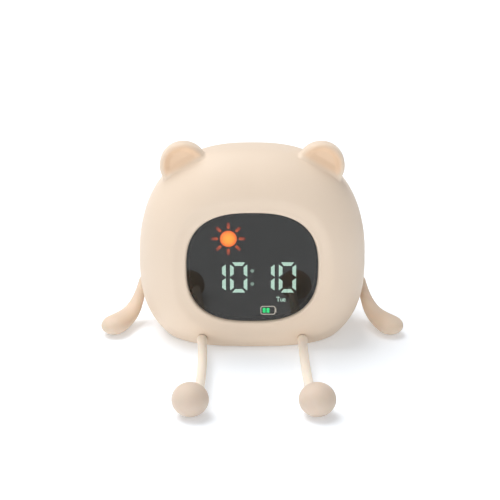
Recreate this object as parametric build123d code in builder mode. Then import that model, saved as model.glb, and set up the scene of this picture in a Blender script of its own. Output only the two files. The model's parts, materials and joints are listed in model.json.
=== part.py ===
from build123d import *
from math import copysign, cos, pi, radians, sin
import os

# Sleep trainer clock: a rounded housing with ears, a tinted screen, soft arms and soft legs.
# Millimetres. +Z is up, the screen faces -Y, and the origin is on the floor under the base pad.

os.makedirs("parts", exist_ok=True)

# Housing outline, seen from the front
body_width = 120.0
body_height = 101.5
widest_height = 40.0
lower_reach = 53.0
upper_power = 2.49
lower_power = 2.56
outline_points = 24

# Housing depth, measured from its widest section
front_reach = 28.0
front_power = 1.72
back_reach = 42.0
back_power = 3.0
back_flat = 39.5
seam_depth = 25.0
front_angles = (18, 36, 54, 72, 90)
back_angles = (22, 40, 55, 68, 78)

# Housing walls
shell_wall = 2.4
base_wall = 3.0
ground_gap = 0.5
tongue_wall = 1.2
tongue_reach = 2.5
tongue_root = 4.5
tongue_clearance = 0.15

# Screen lens and the lip round it
lens_width = 68.1
lens_height = 58.6
lens_middle = 45.0
lens_power = 2.65
lens_thickness = 2.0
lens_clearance = 0.14
lens_recess = 0.2
face_tilt = 3.0
lip_radius = 2.8
lip_angles = (90, 45, 0)
gasket_thickness = 0.5
gasket_width = 1.2
ledge_width = 1.5
ledge_thickness = 2.3

# Ears
ear_x = 36.0
ear_drop = 8.5
ear_depth = 0.0
ear_radius = 12.3
ear_thickness = 9.4
ear_rim = 3.6
ear_dish_radius = 8.2
ear_dish_depth = 1.7
ear_dish_share = 0.5

# Light box and board behind the lens
frame_lens_gap = 0.3
frame_clearance = 0.3
flange_margin = 6.0
flange_thickness = 2.0
board_margin = 1.0
board_thickness = 1.6
pipe_depth = 1.6
pipe_clearance = 0.05
led_length = 1.6
led_width = 0.8
led_height = 0.7
display_screw_x = 35.8
display_screw_rise = 10.0
display_screw_shank = 2.0
display_screw_bite = 3.0

# Time digits, measured from the middle of the lens
digit_width = 9.0
digit_rise = -6.0
inner_digit_x = 7.1
outer_digit_x = 18.3
segment_length = 6.67
segment_width = 1.9
segment_taper = 54.0
segment_gap = 0.8
segment_corner = 1.2
colon_spread = 7.1
colon_diameter = 1.9
shown_digits = "1010"

# Day sign and charge sign, measured from the middle of the lens
sun_x = -12.4
sun_rise = 15.0
sun_diameter = 8.7
sun_rays = 8
ray_length = 3.5
ray_width = 1.55
sun_span = 17.7
charge_x = 8.2
charge_rise = -24.1
charge_width = 7.9
charge_height = 4.8
charge_stroke = 0.45
charge_corner = 1.3
charge_nub_width = 0.45
charge_nub_height = 2.2
cell_width = 1.5
cell_height = 2.6
cell_pitch = 2.0
cells_lit = 2
cell_count = 3

# Screws
screw_diameter = 3.0
screw_head_diameter = 5.6
screw_head_height = 2.0
screw_clearance = 0.2
small_head_diameter = 4.0
small_head_height = 1.6

# Posts that close the housing
post_diameter = 7.6
post_joint = 13.0
post_shoulder = 3.0
post_gap = 0.1
case_screw_bite = 9.0
lower_post_x = 42.0
lower_post_height = 25.0
upper_post_x = 37.0
upper_post_drop = 26.5
pilot_spare = 1.0

# Control board on the rear cover
control_width = 58.0
control_height = 28.0
control_middle = 27.5
control_back = 27.0
control_post_diameter = 5.0
control_post_edge = 3.5
control_screw_bite = 5.0
control_screw_shank = 2.0

# Buttons and switches
button_height = 30.0
button_pitch = 14.0
button_names = ("set", "down", "up", "light")
button_diameter = 9.0
button_proud = 1.2
button_round = 0.8
button_clearance = 0.2
button_flange_diameter = 11.0
button_flange_thickness = 1.2
button_flange_gap = 0.2
button_stem_diameter = 4.0
button_travel = 0.6
switch_side = 6.0
switch_height = 3.5
plunger_diameter = 3.4
plunger_proud = 1.0
plunger_inside = 0.7
plunger_clearance = 0.08
plunger_spare = 0.3

# Charging socket
usb_height = 18.5
usb_width = 9.0
usb_thickness = 3.3
usb_wall = 0.35
usb_length = 9.6
usb_tongue_width = 6.6
usb_tongue_thickness = 0.7
usb_tongue_length = 5.5
usb_floor = 2.4
usb_opening_margin = 0.7

# Speaker and grille
speaker_height = 57.0
speaker_diameter = 28.0
speaker_flange = 1.5
speaker_rim = 2.0
speaker_basket_depth = 6.5
speaker_wall = 0.8
speaker_magnet_diameter = 15.0
speaker_magnet_depth = 4.0
speaker_ring_wall = 1.4
speaker_ring_depth = 3.0
speaker_clearance = 0.2
cone_thickness = 0.6
cone_gap = 0.25
cone_floor_gap = 0.5
cone_cap_radius = 3.5
grille_hole = 1.8
grille_pitch = 3.8
grille_rings = 3
grille_first_ring = 6

# Cell and its cradle
battery_diameter = 18.3
battery_length = 65.0
battery_y = -1.0
battery_clearance = 0.15
battery_round = 0.6
cradle_wall = 2.0
cradle_height = 9.0
cradle_floor = 1.6

# Leads and ribbon
wire_diameter = 1.2
wire_spacing = 2.0
wire_bend = 1.6
battery_lead_x = 15.0
battery_lead_rise = 4.0
speaker_lead_x = 5.0
speaker_lead_drop = 6.0
speaker_lead_stand = 3.5
ribbon_x = -10.0
ribbon_width = 14.0
ribbon_thickness = 0.4
ribbon_height = 36.0
ribbon_bow = 5.0
ribbon_straight = 5.0
ribbon_slope = 6.0
ribbon_bend = 3.0
ribbon_gap = 0.25

# Chips on the control board: across, height, width, tall, thick
chips = ((-14.0, 23.0, 7.0, 7.0, 1.0), (3.0, 21.0, 5.0, 5.0, 0.9), (23.0, 24.0, 4.0, 5.0, 1.2))

# Base pad
pad_width = 76.0
pad_length = 34.0
pad_corner = 15.0
pad_recess = 1.0
pad_clearance = 0.15

# Arms: each one piece with the plug that holds it in the housing
shoulder_depth = 17.0
shoulder_height = 22.0
shoulder_gap = 0.3
arm_radius = 2.3
arm_fall_out = 8.0
arm_fall_share = 1.09
arm_turn_out = 14.5
hand_tip_x = 77.7
hand_tip_depth = -13.7
hand_half_width = 7.5
hand_half_height = 5.2
# Sections of an arm: share of its length, share of the way from the arm's girth to the hand's, size
arm_sections = (
    (0.0, 0.0, 0.15),
    (0.012, 0.0, 0.6),
    (0.035, 0.0, 0.92),
    (0.07, 0.0, 1.0),
    (0.25, 0.11, 1.0),
    (0.43, 0.36, 1.0),
    (0.57, 0.59, 1.0),
    (0.71, 0.8, 1.0),
    (0.82, 0.93, 1.0),
    (0.92, 1.0, 0.8),
    (0.98, 1.0, 0.45),
    (1.0, 1.0, 0.15),
)
plug_diameter = 3.4
plug_clearance = 0.06
plug_head_diameter = 7.6
plug_head_thickness = 1.8
plug_head_gap = 0.3
spot_clearance = 0.4
spot_reach = 4.0

# Legs and feet
hip_x = 26.0
hip_height = 6.4
hip_stand = 1.8
leg_root_radius = 2.7
leg_radius = 2.5
leg_ankle_radius = 2.4
leg_sections = (0.0, 0.35, 0.7, 1.0)
dimple_clearance = 0.25
leg_plug_diameter = 3.6
leg_plug_clearance = 0.1
leg_plug_head_diameter = 6.0
leg_plug_head_thickness = 1.5
foot_diameter = 18.1
foot_height = 16.6
foot_y = -106.5
ankle_sink = 4.0
socket_clearance = 0.06
sides = {"right": 1, "left": -1}
leg_bow_x = {"right": 26.8, "left": 25.3}
leg_bow_y = -62.0
ankle_x = {"right": 28.6, "left": 26.1}
foot_x = {"right": 31.3, "left": 29.8}

# Values worked out from the sizes above
body_half = body_width / 2
ear_height = body_height - ear_drop
upper_post_height = body_height - upper_post_drop
aperture_half = lens_width / 2 + lens_clearance
aperture_rise = lens_height / 2 + lens_clearance
crest_half = aperture_half + lip_radius
lens_front = -(front_reach - lip_radius - lens_recess)
ledge_front = lens_thickness + gasket_thickness
ledge_back = ledge_front + ledge_thickness
frame_front = lens_thickness + frame_lens_gap
flange_back = ledge_back + flange_thickness
display_board_back = flange_back + board_thickness
base_floor = ground_gap + base_wall
back_inside = back_flat - shell_wall
control_front = control_back - board_thickness
switch_top = control_back + switch_height
stem_end = switch_top + plunger_proud
battery_height = base_floor + cradle_floor + battery_clearance + battery_diameter / 2
digit_height = 2 * (segment_gap / 2 + segment_length + segment_corner)
foot_middle = foot_height / 2


def section_plane(depth, height, tilt):
    """Plane across the housing that faces the front, leaning back by a tilt in degrees."""
    lean = radians(tilt)
    return Plane(origin=(0, depth, height), x_dir=(1, 0, 0), z_dir=(0, -cos(lean), sin(lean)))


def across(depth):
    """Upright plane across the housing at a depth along Y, with Z as its upward direction."""
    return section_plane(depth, 0, 0)


def face(inwards):
    """Plane along the lens, a distance behind its front face, centred on the lens."""
    lean = radians(face_tilt)
    return section_plane(lens_front + inwards * cos(lean), lens_middle - inwards * sin(lean), face_tilt)


def blend(start, end, share):
    """Value a share of the way from start to end."""
    return start + (end - start) * share


def draw_outline(half_width, rise, drop, upper, lower, mode=Mode.ADD):
    """Closed rounded face whose upper and lower halves meet at its widest line."""
    points = []
    for step in range(outline_points):
        angle = 2 * pi * step / outline_points
        above = sin(angle) >= 0
        power = 2 / (upper if above else lower)
        reach = rise if above else drop
        x = half_width * copysign(abs(cos(angle)) ** power, cos(angle))
        y = reach * copysign(abs(sin(angle)) ** power, sin(angle))
        points.append((x, y))
    steps = [step / outline_points for step in range(outline_points + 1)]
    make_face(Edge.make_spline(points, periodic=True, parameters=steps), mode=mode)


def draw_lens_outline(margin, mode=Mode.ADD):
    """Outline of the lens grown by a margin."""
    half_height = lens_height / 2 + margin
    draw_outline(lens_width / 2 + margin, half_height, half_height, lens_power, lens_power, mode)


def front_section(half_width, inset):
    """Height of the widest line and the outline of a section between the lens and the widest one."""
    share = (half_width - aperture_half) / (body_half - aperture_half)
    height = blend(lens_middle, widest_height, share)
    rise = blend(aperture_rise, body_height - widest_height, share) - inset
    drop = blend(aperture_rise, lower_reach, share) - inset
    upper = blend(lens_power, upper_power, share)
    lower = blend(lens_power, lower_power, share)
    return height, (half_width - inset, rise, drop, upper, lower)


def housing_sections(wall):
    """Planes and outlines from the front to the back, moved inwards by a wall."""
    sections = []
    for degrees in front_angles:
        turn = radians(degrees)
        half_width = blend(crest_half, body_half, sin(turn) ** (2 / front_power))
        depth = -front_reach * cos(turn) ** (2 / front_power) + wall * cos(turn)
        height, outline = front_section(half_width, wall * sin(turn))
        sections.append((section_plane(depth, height, face_tilt * cos(turn)), outline))
    for degrees in back_angles:
        turn = radians(degrees)
        share = cos(turn) ** (2 / back_power)
        inset = wall * cos(turn)
        depth = back_reach * sin(turn) ** (2 / back_power) - wall * sin(turn)
        rise = (body_height - widest_height) * share - inset
        outline = (body_half * share - inset, rise, lower_reach * share - inset, upper_power, lower_power)
        sections.append((section_plane(depth, widest_height, 0), outline))
    return sections


# Outer form of the whole housing, from the lip round the lens to the flat back
with BuildPart() as body_form:
    for degrees in lip_angles:
        lip_turn = radians(degrees)
        lip_half = crest_half - lip_radius * sin(lip_turn)
        with BuildSketch(face(-lens_recess - lip_radius * cos(lip_turn))):
            draw_outline(*front_section(lip_half, 0)[1])
    for plane, outline in housing_sections(0):
        with BuildSketch(plane):
            draw_outline(*outline)
    loft()
    split(bisect_by=across(back_flat), keep=Keep.TOP)
    split(bisect_by=Plane.XY.offset(ground_gap), keep=Keep.TOP)

# Space inside the housing
with BuildPart() as cavity_form:
    for plane, outline in housing_sections(shell_wall):
        with BuildSketch(plane):
            draw_outline(*outline)
    loft()
    split(bisect_by=face(ledge_back), keep=Keep.BOTTOM)
    split(bisect_by=across(back_inside), keep=Keep.TOP)
    split(bisect_by=Plane.XY.offset(base_floor), keep=Keep.TOP)


def surface_hit(start, direction):
    """Point and outward direction where a line from inside the housing leaves it."""
    line = Axis(start, direction)
    hits = body_form.part.shell().find_intersection_points(line)
    point, normal = max(hits, key=lambda hit: (hit[0] - line.position).dot(line.direction))
    return point, normal if normal.dot(line.direction) > 0 else -normal


hip_points = {}
shoulder_points = {}
for side, sign in sides.items():
    hip_points[side] = surface_hit((sign * hip_x, 0, hip_height), (0, -1, 0))
    shoulder_points[side] = surface_hit((0, shoulder_depth, shoulder_height), (sign, 0, 0))


def hip_pivot(side):
    """Centre of the leg's round root, just outside the housing."""
    point, normal = hip_points[side]
    return point + normal * hip_stand


# Places of the screws and posts
display_screw_places = []
for x in (-display_screw_x, display_screw_x):
    for rise in (-display_screw_rise, display_screw_rise):
        display_screw_places.append((x, rise))
post_places = []
for x, height in ((lower_post_x, lower_post_height), (upper_post_x, upper_post_height)):
    post_places.append((x, height))
    post_places.append((-x, height))
control_post_x = control_width / 2 - control_post_edge
control_post_rise = control_height / 2 - control_post_edge
control_post_places = []
for x in (-control_post_x, control_post_x):
    for rise in (-control_post_rise, control_post_rise):
        control_post_places.append((x, control_middle + rise))
button_places = {}
for index, name in enumerate(button_names):
    button_places[name] = ((index - (len(button_names) - 1) / 2) * button_pitch, button_height)

# Posts of the front housing, trimmed to its outer form
with BuildPart() as front_posts:
    with BuildSketch(across(post_joint)):
        with Locations(*post_places):
            Circle(post_diameter / 2)
    extrude(amount=front_reach + post_joint)
    add(body_form.part, mode=Mode.INTERSECT)

# Posts of the rear cover, trimmed to its outer form
with BuildPart() as rear_posts:
    with BuildSketch(across(post_joint + post_gap)):
        with Locations(*post_places):
            Circle(post_diameter / 2)
    extrude(amount=-back_reach)
    add(body_form.part, mode=Mode.INTERSECT)

# Holes with a flat seat inside for the arm plugs and leg plugs, and a dimple round each leg's root
with BuildPart() as plug_space:
    for side in sides:
        for place, hole_radius, head_diameter in (
            (shoulder_points[side], plug_diameter / 2 + plug_clearance, plug_head_diameter),
            (hip_points[side], leg_plug_diameter / 2 + leg_plug_clearance, leg_plug_head_diameter),
        ):
            point, normal = place
            seat = Plane(origin=point - normal * shell_wall, z_dir=normal)
            with BuildSketch(seat):
                Circle(head_diameter / 2 + spot_clearance)
            extrude(amount=-spot_reach)
            with BuildSketch(seat):
                Circle(hole_radius)
            extrude(amount=2 * shell_wall)
        with Locations(hip_pivot(side)):
            Sphere(leg_root_radius + dimple_clearance)

# Front housing with its ears
with BuildPart() as front_shell:
    add(body_form.part)
    for sign in sides.values():
        with BuildSketch(Plane((sign * ear_x, ear_depth, ear_height))):
            with BuildLine():
                ear_half = ear_thickness / 2
                ear_flat = ear_radius - ear_rim
                back_edge = Line((0, ear_half), (ear_flat, ear_half))
                back_round = RadiusArc(back_edge @ 1, (ear_radius, ear_half - ear_rim), ear_rim)
                side_edge = Line(back_round @ 1, (ear_radius, ear_rim - ear_half))
                front_round = RadiusArc(side_edge @ 1, (ear_flat, -ear_half), ear_rim)
                front_edge = Line(front_round @ 1, (ear_dish_radius, -ear_half))
                dish_low = (0, ear_dish_depth - ear_half)
                dish_fall = ear_dish_depth * (1 - ear_dish_share**2)
                dish_middle = (ear_dish_radius * ear_dish_share, dish_fall - ear_half)
                ThreePointArc(front_edge @ 1, dish_middle, dish_low)
                Line(dish_low, back_edge @ 0)
            make_face()
        revolve(axis=Axis((sign * ear_x, ear_depth, ear_height), (0, 1, 0)))
    add(cavity_form.part, mode=Mode.SUBTRACT)
    split(bisect_by=across(seam_depth), keep=Keep.TOP)
    add(front_posts.part)
    # Recess for the lens, then the opening inside its ledge
    with BuildSketch(face(-lens_recess)):
        draw_lens_outline(lens_clearance)
    extrude(amount=-(lens_recess + ledge_front), mode=Mode.SUBTRACT)
    with BuildSketch(face(ledge_front)):
        draw_lens_outline(-ledge_width)
    extrude(amount=-(ledge_thickness + flange_thickness), mode=Mode.SUBTRACT)
    # Pilot holes for the screws of the light box and of the rear cover
    with BuildSketch(face(ledge_back)):
        with Locations(*display_screw_places):
            Circle(display_screw_shank / 2)
    extrude(amount=display_screw_bite + screw_clearance, mode=Mode.SUBTRACT)
    with BuildSketch(across(post_joint)):
        with Locations(*post_places):
            Circle(screw_diameter / 2)
    extrude(amount=case_screw_bite + pilot_spare, mode=Mode.SUBTRACT)
    # Recess for the base pad
    with BuildSketch(Plane.XY.offset(ground_gap)):
        RectangleRounded(
            pad_width + 2 * pad_clearance, pad_length + 2 * pad_clearance, pad_corner + pad_clearance
        )
    extrude(amount=pad_recess, mode=Mode.SUBTRACT)
    add(plug_space.part, mode=Mode.SUBTRACT)
front_shell.part.label = "front_shell"
export_step(front_shell.part, "parts/front_shell.step")

# Tongue of the rear cover that guides it into the front housing, open at the base
seam_share = (1 - (seam_depth / back_reach) ** back_power) ** (1 / back_power)
seam_slope = body_half / back_reach * (seam_depth / back_reach / seam_share) ** (back_power - 1)
tongue_inset = shell_wall * (1 + seam_slope**2) ** 0.5 + tongue_clearance


def draw_seam_outline(inset, mode=Mode.ADD):
    """Outline of the housing at its seam, moved inwards."""
    rise = (body_height - widest_height) * seam_share - inset
    drop = lower_reach * seam_share - inset
    draw_outline(body_half * seam_share - inset, rise, drop, upper_power, lower_power, mode)


with BuildPart() as tongue:
    with BuildSketch(section_plane(seam_depth - tongue_reach, widest_height, 0)):
        draw_seam_outline(tongue_inset)
        draw_seam_outline(tongue_inset + tongue_wall, Mode.SUBTRACT)
    extrude(amount=-(tongue_reach + tongue_root))
    split(bisect_by=Plane.XY.offset(base_floor + tongue_clearance), keep=Keep.TOP)

# Rear cover with its posts, grille and openings
with BuildPart() as rear_shell:
    add(body_form.part)
    add(cavity_form.part, mode=Mode.SUBTRACT)
    split(bisect_by=across(seam_depth), keep=Keep.BOTTOM)
    add(tongue.part)
    add(rear_posts.part)
    # Posts for the control board
    with BuildSketch(across(control_back)):
        with Locations(*control_post_places):
            Circle(control_post_diameter / 2)
    extrude(amount=control_back - back_inside)
    # Ring that holds the speaker
    with BuildSketch(across(back_inside)):
        with Locations((0, speaker_height)):
            Circle(speaker_diameter / 2 + speaker_clearance + speaker_ring_wall)
            Circle(speaker_diameter / 2 + speaker_clearance, mode=Mode.SUBTRACT)
    extrude(amount=speaker_ring_depth)
    # Screw holes, with a deep well down to each shoulder
    with BuildSketch(across(post_joint)):
        with Locations(*post_places):
            Circle(screw_diameter / 2 + screw_clearance)
    extrude(amount=-back_reach, mode=Mode.SUBTRACT)
    with BuildSketch(across(post_joint + post_gap + post_shoulder)):
        with Locations(*post_places):
            Circle(screw_head_diameter / 2 + screw_clearance)
    extrude(amount=-back_reach, mode=Mode.SUBTRACT)
    with BuildSketch(across(control_back)):
        with Locations(*control_post_places):
            Circle(control_screw_shank / 2)
    extrude(amount=-(control_screw_bite + pilot_spare), mode=Mode.SUBTRACT)
    # Grille, button holes and charging opening
    with BuildSketch(across(back_flat)):
        with Locations((0, speaker_height)):
            Circle(grille_hole / 2)
            for ring in range(1, grille_rings):
                with PolarLocations(ring * grille_pitch, ring * grille_first_ring):
                    Circle(grille_hole / 2)
        with Locations(*button_places.values()):
            Circle(button_diameter / 2 + button_clearance)
        with Locations((0, usb_height)):
            SlotOverall(usb_width + 2 * usb_opening_margin, usb_thickness + 2 * usb_opening_margin)
    extrude(amount=shell_wall, mode=Mode.SUBTRACT)
rear_shell.part.label = "rear_shell"
export_step(rear_shell.part, "parts/rear_shell.step")

# Tinted lens
with BuildPart() as screen_lens:
    with BuildSketch(face(0)):
        draw_lens_outline(0)
    extrude(amount=-lens_thickness)
screen_lens.part.label = "screen_lens"
export_step(screen_lens.part, "parts/screen_lens.step")

# Adhesive ring that holds the lens on its ledge
with BuildPart() as lens_gasket:
    with BuildSketch(face(lens_thickness)):
        draw_lens_outline(0)
        draw_lens_outline(-gasket_width, Mode.SUBTRACT)
    extrude(amount=-gasket_thickness)
lens_gasket.part.label = "lens_gasket"
export_step(lens_gasket.part, "parts/lens_gasket.step")

# Segments of a digit: place from the digit's middle, and the turn that puts the long edge outwards
side_x = (digit_width - segment_width) / 2
side_rise = (segment_gap + segment_length) / 2
end_rise = (digit_height - segment_width) / 2
segment_places = {
    "top": (0, end_rise, 180),
    "bottom": (0, -end_rise, 0),
    "upper_left": (-side_x, side_rise, -90),
    "lower_left": (-side_x, -side_rise, -90),
    "upper_right": (side_x, side_rise, 90),
    "lower_right": (side_x, -side_rise, 90),
}
lit_names = {"0": tuple(segment_places), "1": ("upper_right", "lower_right")}
digit_places = (-outer_digit_x, -inner_digit_x, inner_digit_x, outer_digit_x)


def segments(lit):
    """Place and turn of every lit segment, or of every dark one."""
    places = []
    for digit, digit_x in zip(shown_digits, digit_places):
        for name, (x, rise, turn) in segment_places.items():
            if (name in lit_names[digit]) == lit:
                places.append(Location((digit_x + x, digit_rise + rise, 0), turn))
    return places


def draw_segments(places, growth):
    """Tapered ends of light pipes, grown by a clearance."""
    with Locations(*places):
        Trapezoid(segment_length + 2 * growth, segment_width + 2 * growth, segment_taper)


def draw_middle_bars(growth):
    """Dark bar across the middle of each digit."""
    half_length = digit_width / 2 - segment_corner + growth
    half_width = segment_width / 2 + growth
    shoulder = half_length - half_width
    corners = [(half_length, 0), (shoulder, half_width), (-shoulder, half_width)]
    corners += [(-x, -y) for x, y in corners]
    with Locations(*[(digit_x, digit_rise) for digit_x in digit_places]):
        Polygon(*corners)


def draw_colon(growth):
    """Dots between hours and minutes."""
    with Locations((0, digit_rise)):
        with GridLocations(0, colon_spread, 1, 2):
            Circle(colon_diameter / 2 + growth)


def draw_sun(growth):
    """Disc with rays of the day sign."""
    with Locations((sun_x, sun_rise)):
        Circle(sun_diameter / 2 + growth)
        with PolarLocations((sun_span - ray_length) / 2, sun_rays):
            SlotOverall(ray_length + 2 * growth, ray_width + 2 * growth)


def draw_charge_outline(growth):
    """Rounded outline of the charge sign with its nub."""
    with Locations((charge_x, charge_rise)):
        RectangleRounded(charge_width + 2 * growth, charge_height + 2 * growth, charge_corner)
        with Locations(((charge_width + charge_nub_width) / 2, 0)):
            Rectangle(charge_nub_width + 2 * growth, charge_nub_height + 2 * growth)
        RectangleRounded(
            charge_width - 2 * (charge_stroke + growth),
            charge_height - 2 * (charge_stroke + growth),
            charge_corner - charge_stroke,
            mode=Mode.SUBTRACT,
        )


def draw_cells(first, last, growth):
    """Cells of the charge sign."""
    for cell in range(first, last):
        with Locations((charge_x + (cell - (cell_count - 1) / 2) * cell_pitch, charge_rise)):
            Rectangle(cell_width + 2 * growth, cell_height + 2 * growth)


# Black light box behind the lens: a front block in the ledge's opening and a flange behind the ledge
with BuildPart() as display_frame:
    with BuildSketch(face(frame_front)):
        draw_lens_outline(-ledge_width - frame_clearance)
    extrude(amount=frame_front - ledge_back)
    with BuildSketch(face(ledge_back)):
        draw_lens_outline(flange_margin)
    extrude(amount=-flange_thickness)
    with BuildSketch(face(frame_front)):
        draw_segments(segments(True), pipe_clearance)
        draw_segments(segments(False), pipe_clearance)
        draw_middle_bars(pipe_clearance)
        draw_colon(pipe_clearance)
        draw_sun(pipe_clearance)
        draw_cells(0, cell_count, pipe_clearance)
    extrude(amount=frame_front - flange_back, mode=Mode.SUBTRACT)
    with BuildSketch(face(frame_front)):
        draw_charge_outline(pipe_clearance)
    extrude(amount=-pipe_depth - pipe_clearance, mode=Mode.SUBTRACT)
    with BuildSketch(face(ledge_back)):
        with Locations(*display_screw_places):
            Circle(display_screw_shank / 2 + screw_clearance)
    extrude(amount=-flange_thickness, mode=Mode.SUBTRACT)
display_frame.part.label = "display_frame"
export_step(display_frame.part, "parts/display_frame.step")

# Light pipes that show the time
with BuildPart() as lit_segments:
    with BuildSketch(face(frame_front)):
        draw_segments(segments(True), 0)
    extrude(amount=-pipe_depth)
lit_segments.part.label = "lit_segments"
export_step(lit_segments.part, "parts/lit_segments.step")

# Light pipes that are dark at the moment
with BuildPart() as unlit_marks:
    with BuildSketch(face(frame_front)):
        draw_segments(segments(False), 0)
        draw_middle_bars(0)
        draw_cells(cells_lit, cell_count, 0)
    extrude(amount=-pipe_depth)
unlit_marks.part.label = "unlit_marks"
export_step(unlit_marks.part, "parts/unlit_marks.step")

# Dots between hours and minutes
with BuildPart() as colon_dots:
    with BuildSketch(face(frame_front)):
        draw_colon(0)
    extrude(amount=-pipe_depth)
colon_dots.part.label = "colon_dots"
export_step(colon_dots.part, "parts/colon_dots.step")

# Day sign
with BuildPart() as sun_mark:
    with BuildSketch(face(frame_front)):
        draw_sun(0)
    extrude(amount=-pipe_depth)
sun_mark.part.label = "sun_mark"
export_step(sun_mark.part, "parts/sun_mark.step")

# Charge sign: its outline and its lit cells
with BuildPart() as charge_outline:
    with BuildSketch(face(frame_front)):
        draw_charge_outline(0)
    extrude(amount=-pipe_depth)
charge_outline.part.label = "charge_outline"
export_step(charge_outline.part, "parts/charge_outline.step")

with BuildPart() as charge_cells:
    with BuildSketch(face(frame_front)):
        draw_cells(0, cells_lit, 0)
    extrude(amount=-pipe_depth)
charge_cells.part.label = "charge_cells"
export_step(charge_cells.part, "parts/charge_cells.step")

# Display board behind the light box
with BuildPart() as display_board:
    with BuildSketch(face(flange_back)):
        draw_lens_outline(flange_margin - board_margin)
        with Locations(*display_screw_places):
            Circle(display_screw_shank / 2 + screw_clearance, mode=Mode.SUBTRACT)
    extrude(amount=-board_thickness)
display_board.part.label = "display_board"
export_step(display_board.part, "parts/display_board.step")

# Light emitters on the display board, one behind each segment, bar, dot, cell and the day sign's disc
with BuildPart() as display_leds:
    with BuildSketch(face(flange_back)):
        with Locations(*segments(True), *segments(False)):
            Rectangle(led_length, led_width)
        with Locations(*[(digit_x, digit_rise) for digit_x in digit_places]):
            Rectangle(led_length, led_width)
        with Locations((0, digit_rise)):
            with GridLocations(0, colon_spread, 1, 2):
                Rectangle(led_width, led_width)
        with Locations((charge_x, charge_rise)):
            with GridLocations(cell_pitch, 0, cell_count, 1):
                Rectangle(led_width, led_width)
        with Locations((sun_x, sun_rise)):
            Rectangle(led_length, led_length)
    extrude(amount=led_height)
display_leds.part.label = "display_leds"
export_step(display_leds.part, "parts/display_leds.step")

# Screws through the display board and the light box into the front housing
with BuildPart() as display_screws:
    with BuildSketch(face(display_board_back)):
        with Locations(*display_screw_places):
            Circle(display_screw_shank / 2)
    extrude(amount=board_thickness + flange_thickness + display_screw_bite)
    with BuildSketch(face(display_board_back)):
        with Locations(*display_screw_places):
            Circle(small_head_diameter / 2)
    extrude(amount=-small_head_height)
display_screws.part.label = "display_screws"
export_step(display_screws.part, "parts/display_screws.step")

# Control board on the posts of the rear cover
with BuildPart() as main_board:
    with BuildSketch(across(control_front)):
        with Locations((0, control_middle)):
            RectangleRounded(control_width, control_height, control_post_edge / 2)
        with Locations(*control_post_places):
            Circle(control_screw_shank / 2 + screw_clearance, mode=Mode.SUBTRACT)
    extrude(amount=-board_thickness)
main_board.part.label = "main_board"
export_step(main_board.part, "parts/main_board.step")

# Chips on the front of the control board
with BuildPart() as board_chips:
    for x, height, chip_width, chip_tall, chip_thick in chips:
        with BuildSketch(across(control_front)):
            with Locations((x, height)):
                Rectangle(chip_width, chip_tall)
        extrude(amount=chip_thick)
board_chips.part.label = "board_chips"
export_step(board_chips.part, "parts/board_chips.step")

# Screws that hold the control board on its posts
with BuildPart() as board_screws:
    with BuildSketch(across(control_front)):
        with Locations(*control_post_places):
            Circle(control_screw_shank / 2)
    extrude(amount=-(board_thickness + control_screw_bite))
    with BuildSketch(across(control_front)):
        with Locations(*control_post_places):
            Circle(small_head_diameter / 2)
    extrude(amount=small_head_height)
board_screws.part.label = "board_screws"
export_step(board_screws.part, "parts/board_screws.step")

# Charging socket: a metal sleeve with a floor and a contact tongue
with BuildPart() as usb_socket:
    with BuildSketch(across(control_back)):
        with Locations((0, usb_height)):
            SlotOverall(usb_width, usb_thickness)
    extrude(amount=-usb_length)
    with BuildSketch(across(control_back + usb_floor)):
        with Locations((0, usb_height)):
            SlotOverall(usb_width - 2 * usb_wall, usb_thickness - 2 * usb_wall)
            Rectangle(usb_tongue_width, usb_tongue_thickness, mode=Mode.SUBTRACT)
    extrude(amount=usb_floor - usb_length, mode=Mode.SUBTRACT)
    with BuildSketch(across(control_back + usb_floor + usb_tongue_length)):
        with Locations((0, usb_height)):
            Rectangle(usb_tongue_width, usb_tongue_thickness)
    extrude(amount=usb_floor + usb_tongue_length - usb_length, mode=Mode.SUBTRACT)
usb_socket.part.label = "usb_socket"
export_step(usb_socket.part, "parts/usb_socket.step")

# Bodies of the push switches
with BuildPart() as tact_switches:
    with BuildSketch(across(control_back)):
        with Locations(*button_places.values()):
            Rectangle(switch_side, switch_side)
    extrude(amount=-switch_height)
    with BuildSketch(across(switch_top - plunger_inside - button_travel - plunger_spare)):
        with Locations(*button_places.values()):
            Circle(plunger_diameter / 2 + plunger_clearance)
    extrude(amount=-(plunger_inside + button_travel + plunger_spare), mode=Mode.SUBTRACT)
tact_switches.part.label = "tact_switches"
export_step(tact_switches.part, "parts/tact_switches.step")

# Buttons and the plungers that they push
for name, place in button_places.items():
    with BuildPart() as plunger:
        with BuildSketch(across(switch_top - plunger_inside)):
            with Locations(place):
                Circle(plunger_diameter / 2)
        extrude(amount=-(plunger_inside + plunger_proud))
    plunger.part.label = name + "_plunger"
    export_step(plunger.part, "parts/" + plunger.part.label + ".step")

    with BuildPart() as button:
        with BuildSketch(across(back_inside - button_flange_gap)):
            with Locations(place):
                Circle(button_diameter / 2)
        extrude(amount=-(shell_wall + button_flange_gap + button_proud))
        fillet(button.edges().filter_by(GeomType.CIRCLE).sort_by(Axis.Y)[-1], button_round)
        with BuildSketch(across(back_inside - button_flange_gap)):
            with Locations(place):
                Circle(button_flange_diameter / 2)
        extrude(amount=button_flange_thickness)
        with BuildSketch(across(stem_end)):
            with Locations(place):
                Circle(button_stem_diameter / 2)
        extrude(amount=stem_end - back_inside + button_flange_gap)
    button.part.label = name + "_button"
    export_step(button.part, "parts/" + button.part.label + ".step")

# Round cell
with BuildPart() as battery:
    with BuildSketch(Plane.YZ.offset(-battery_length / 2)):
        with Locations((battery_y, battery_height)):
            Circle(battery_diameter / 2)
    extrude(amount=battery_length)
    fillet(battery.edges().filter_by(GeomType.CIRCLE), battery_round)
battery.part.label = "battery"
export_step(battery.part, "parts/battery.step")

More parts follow.
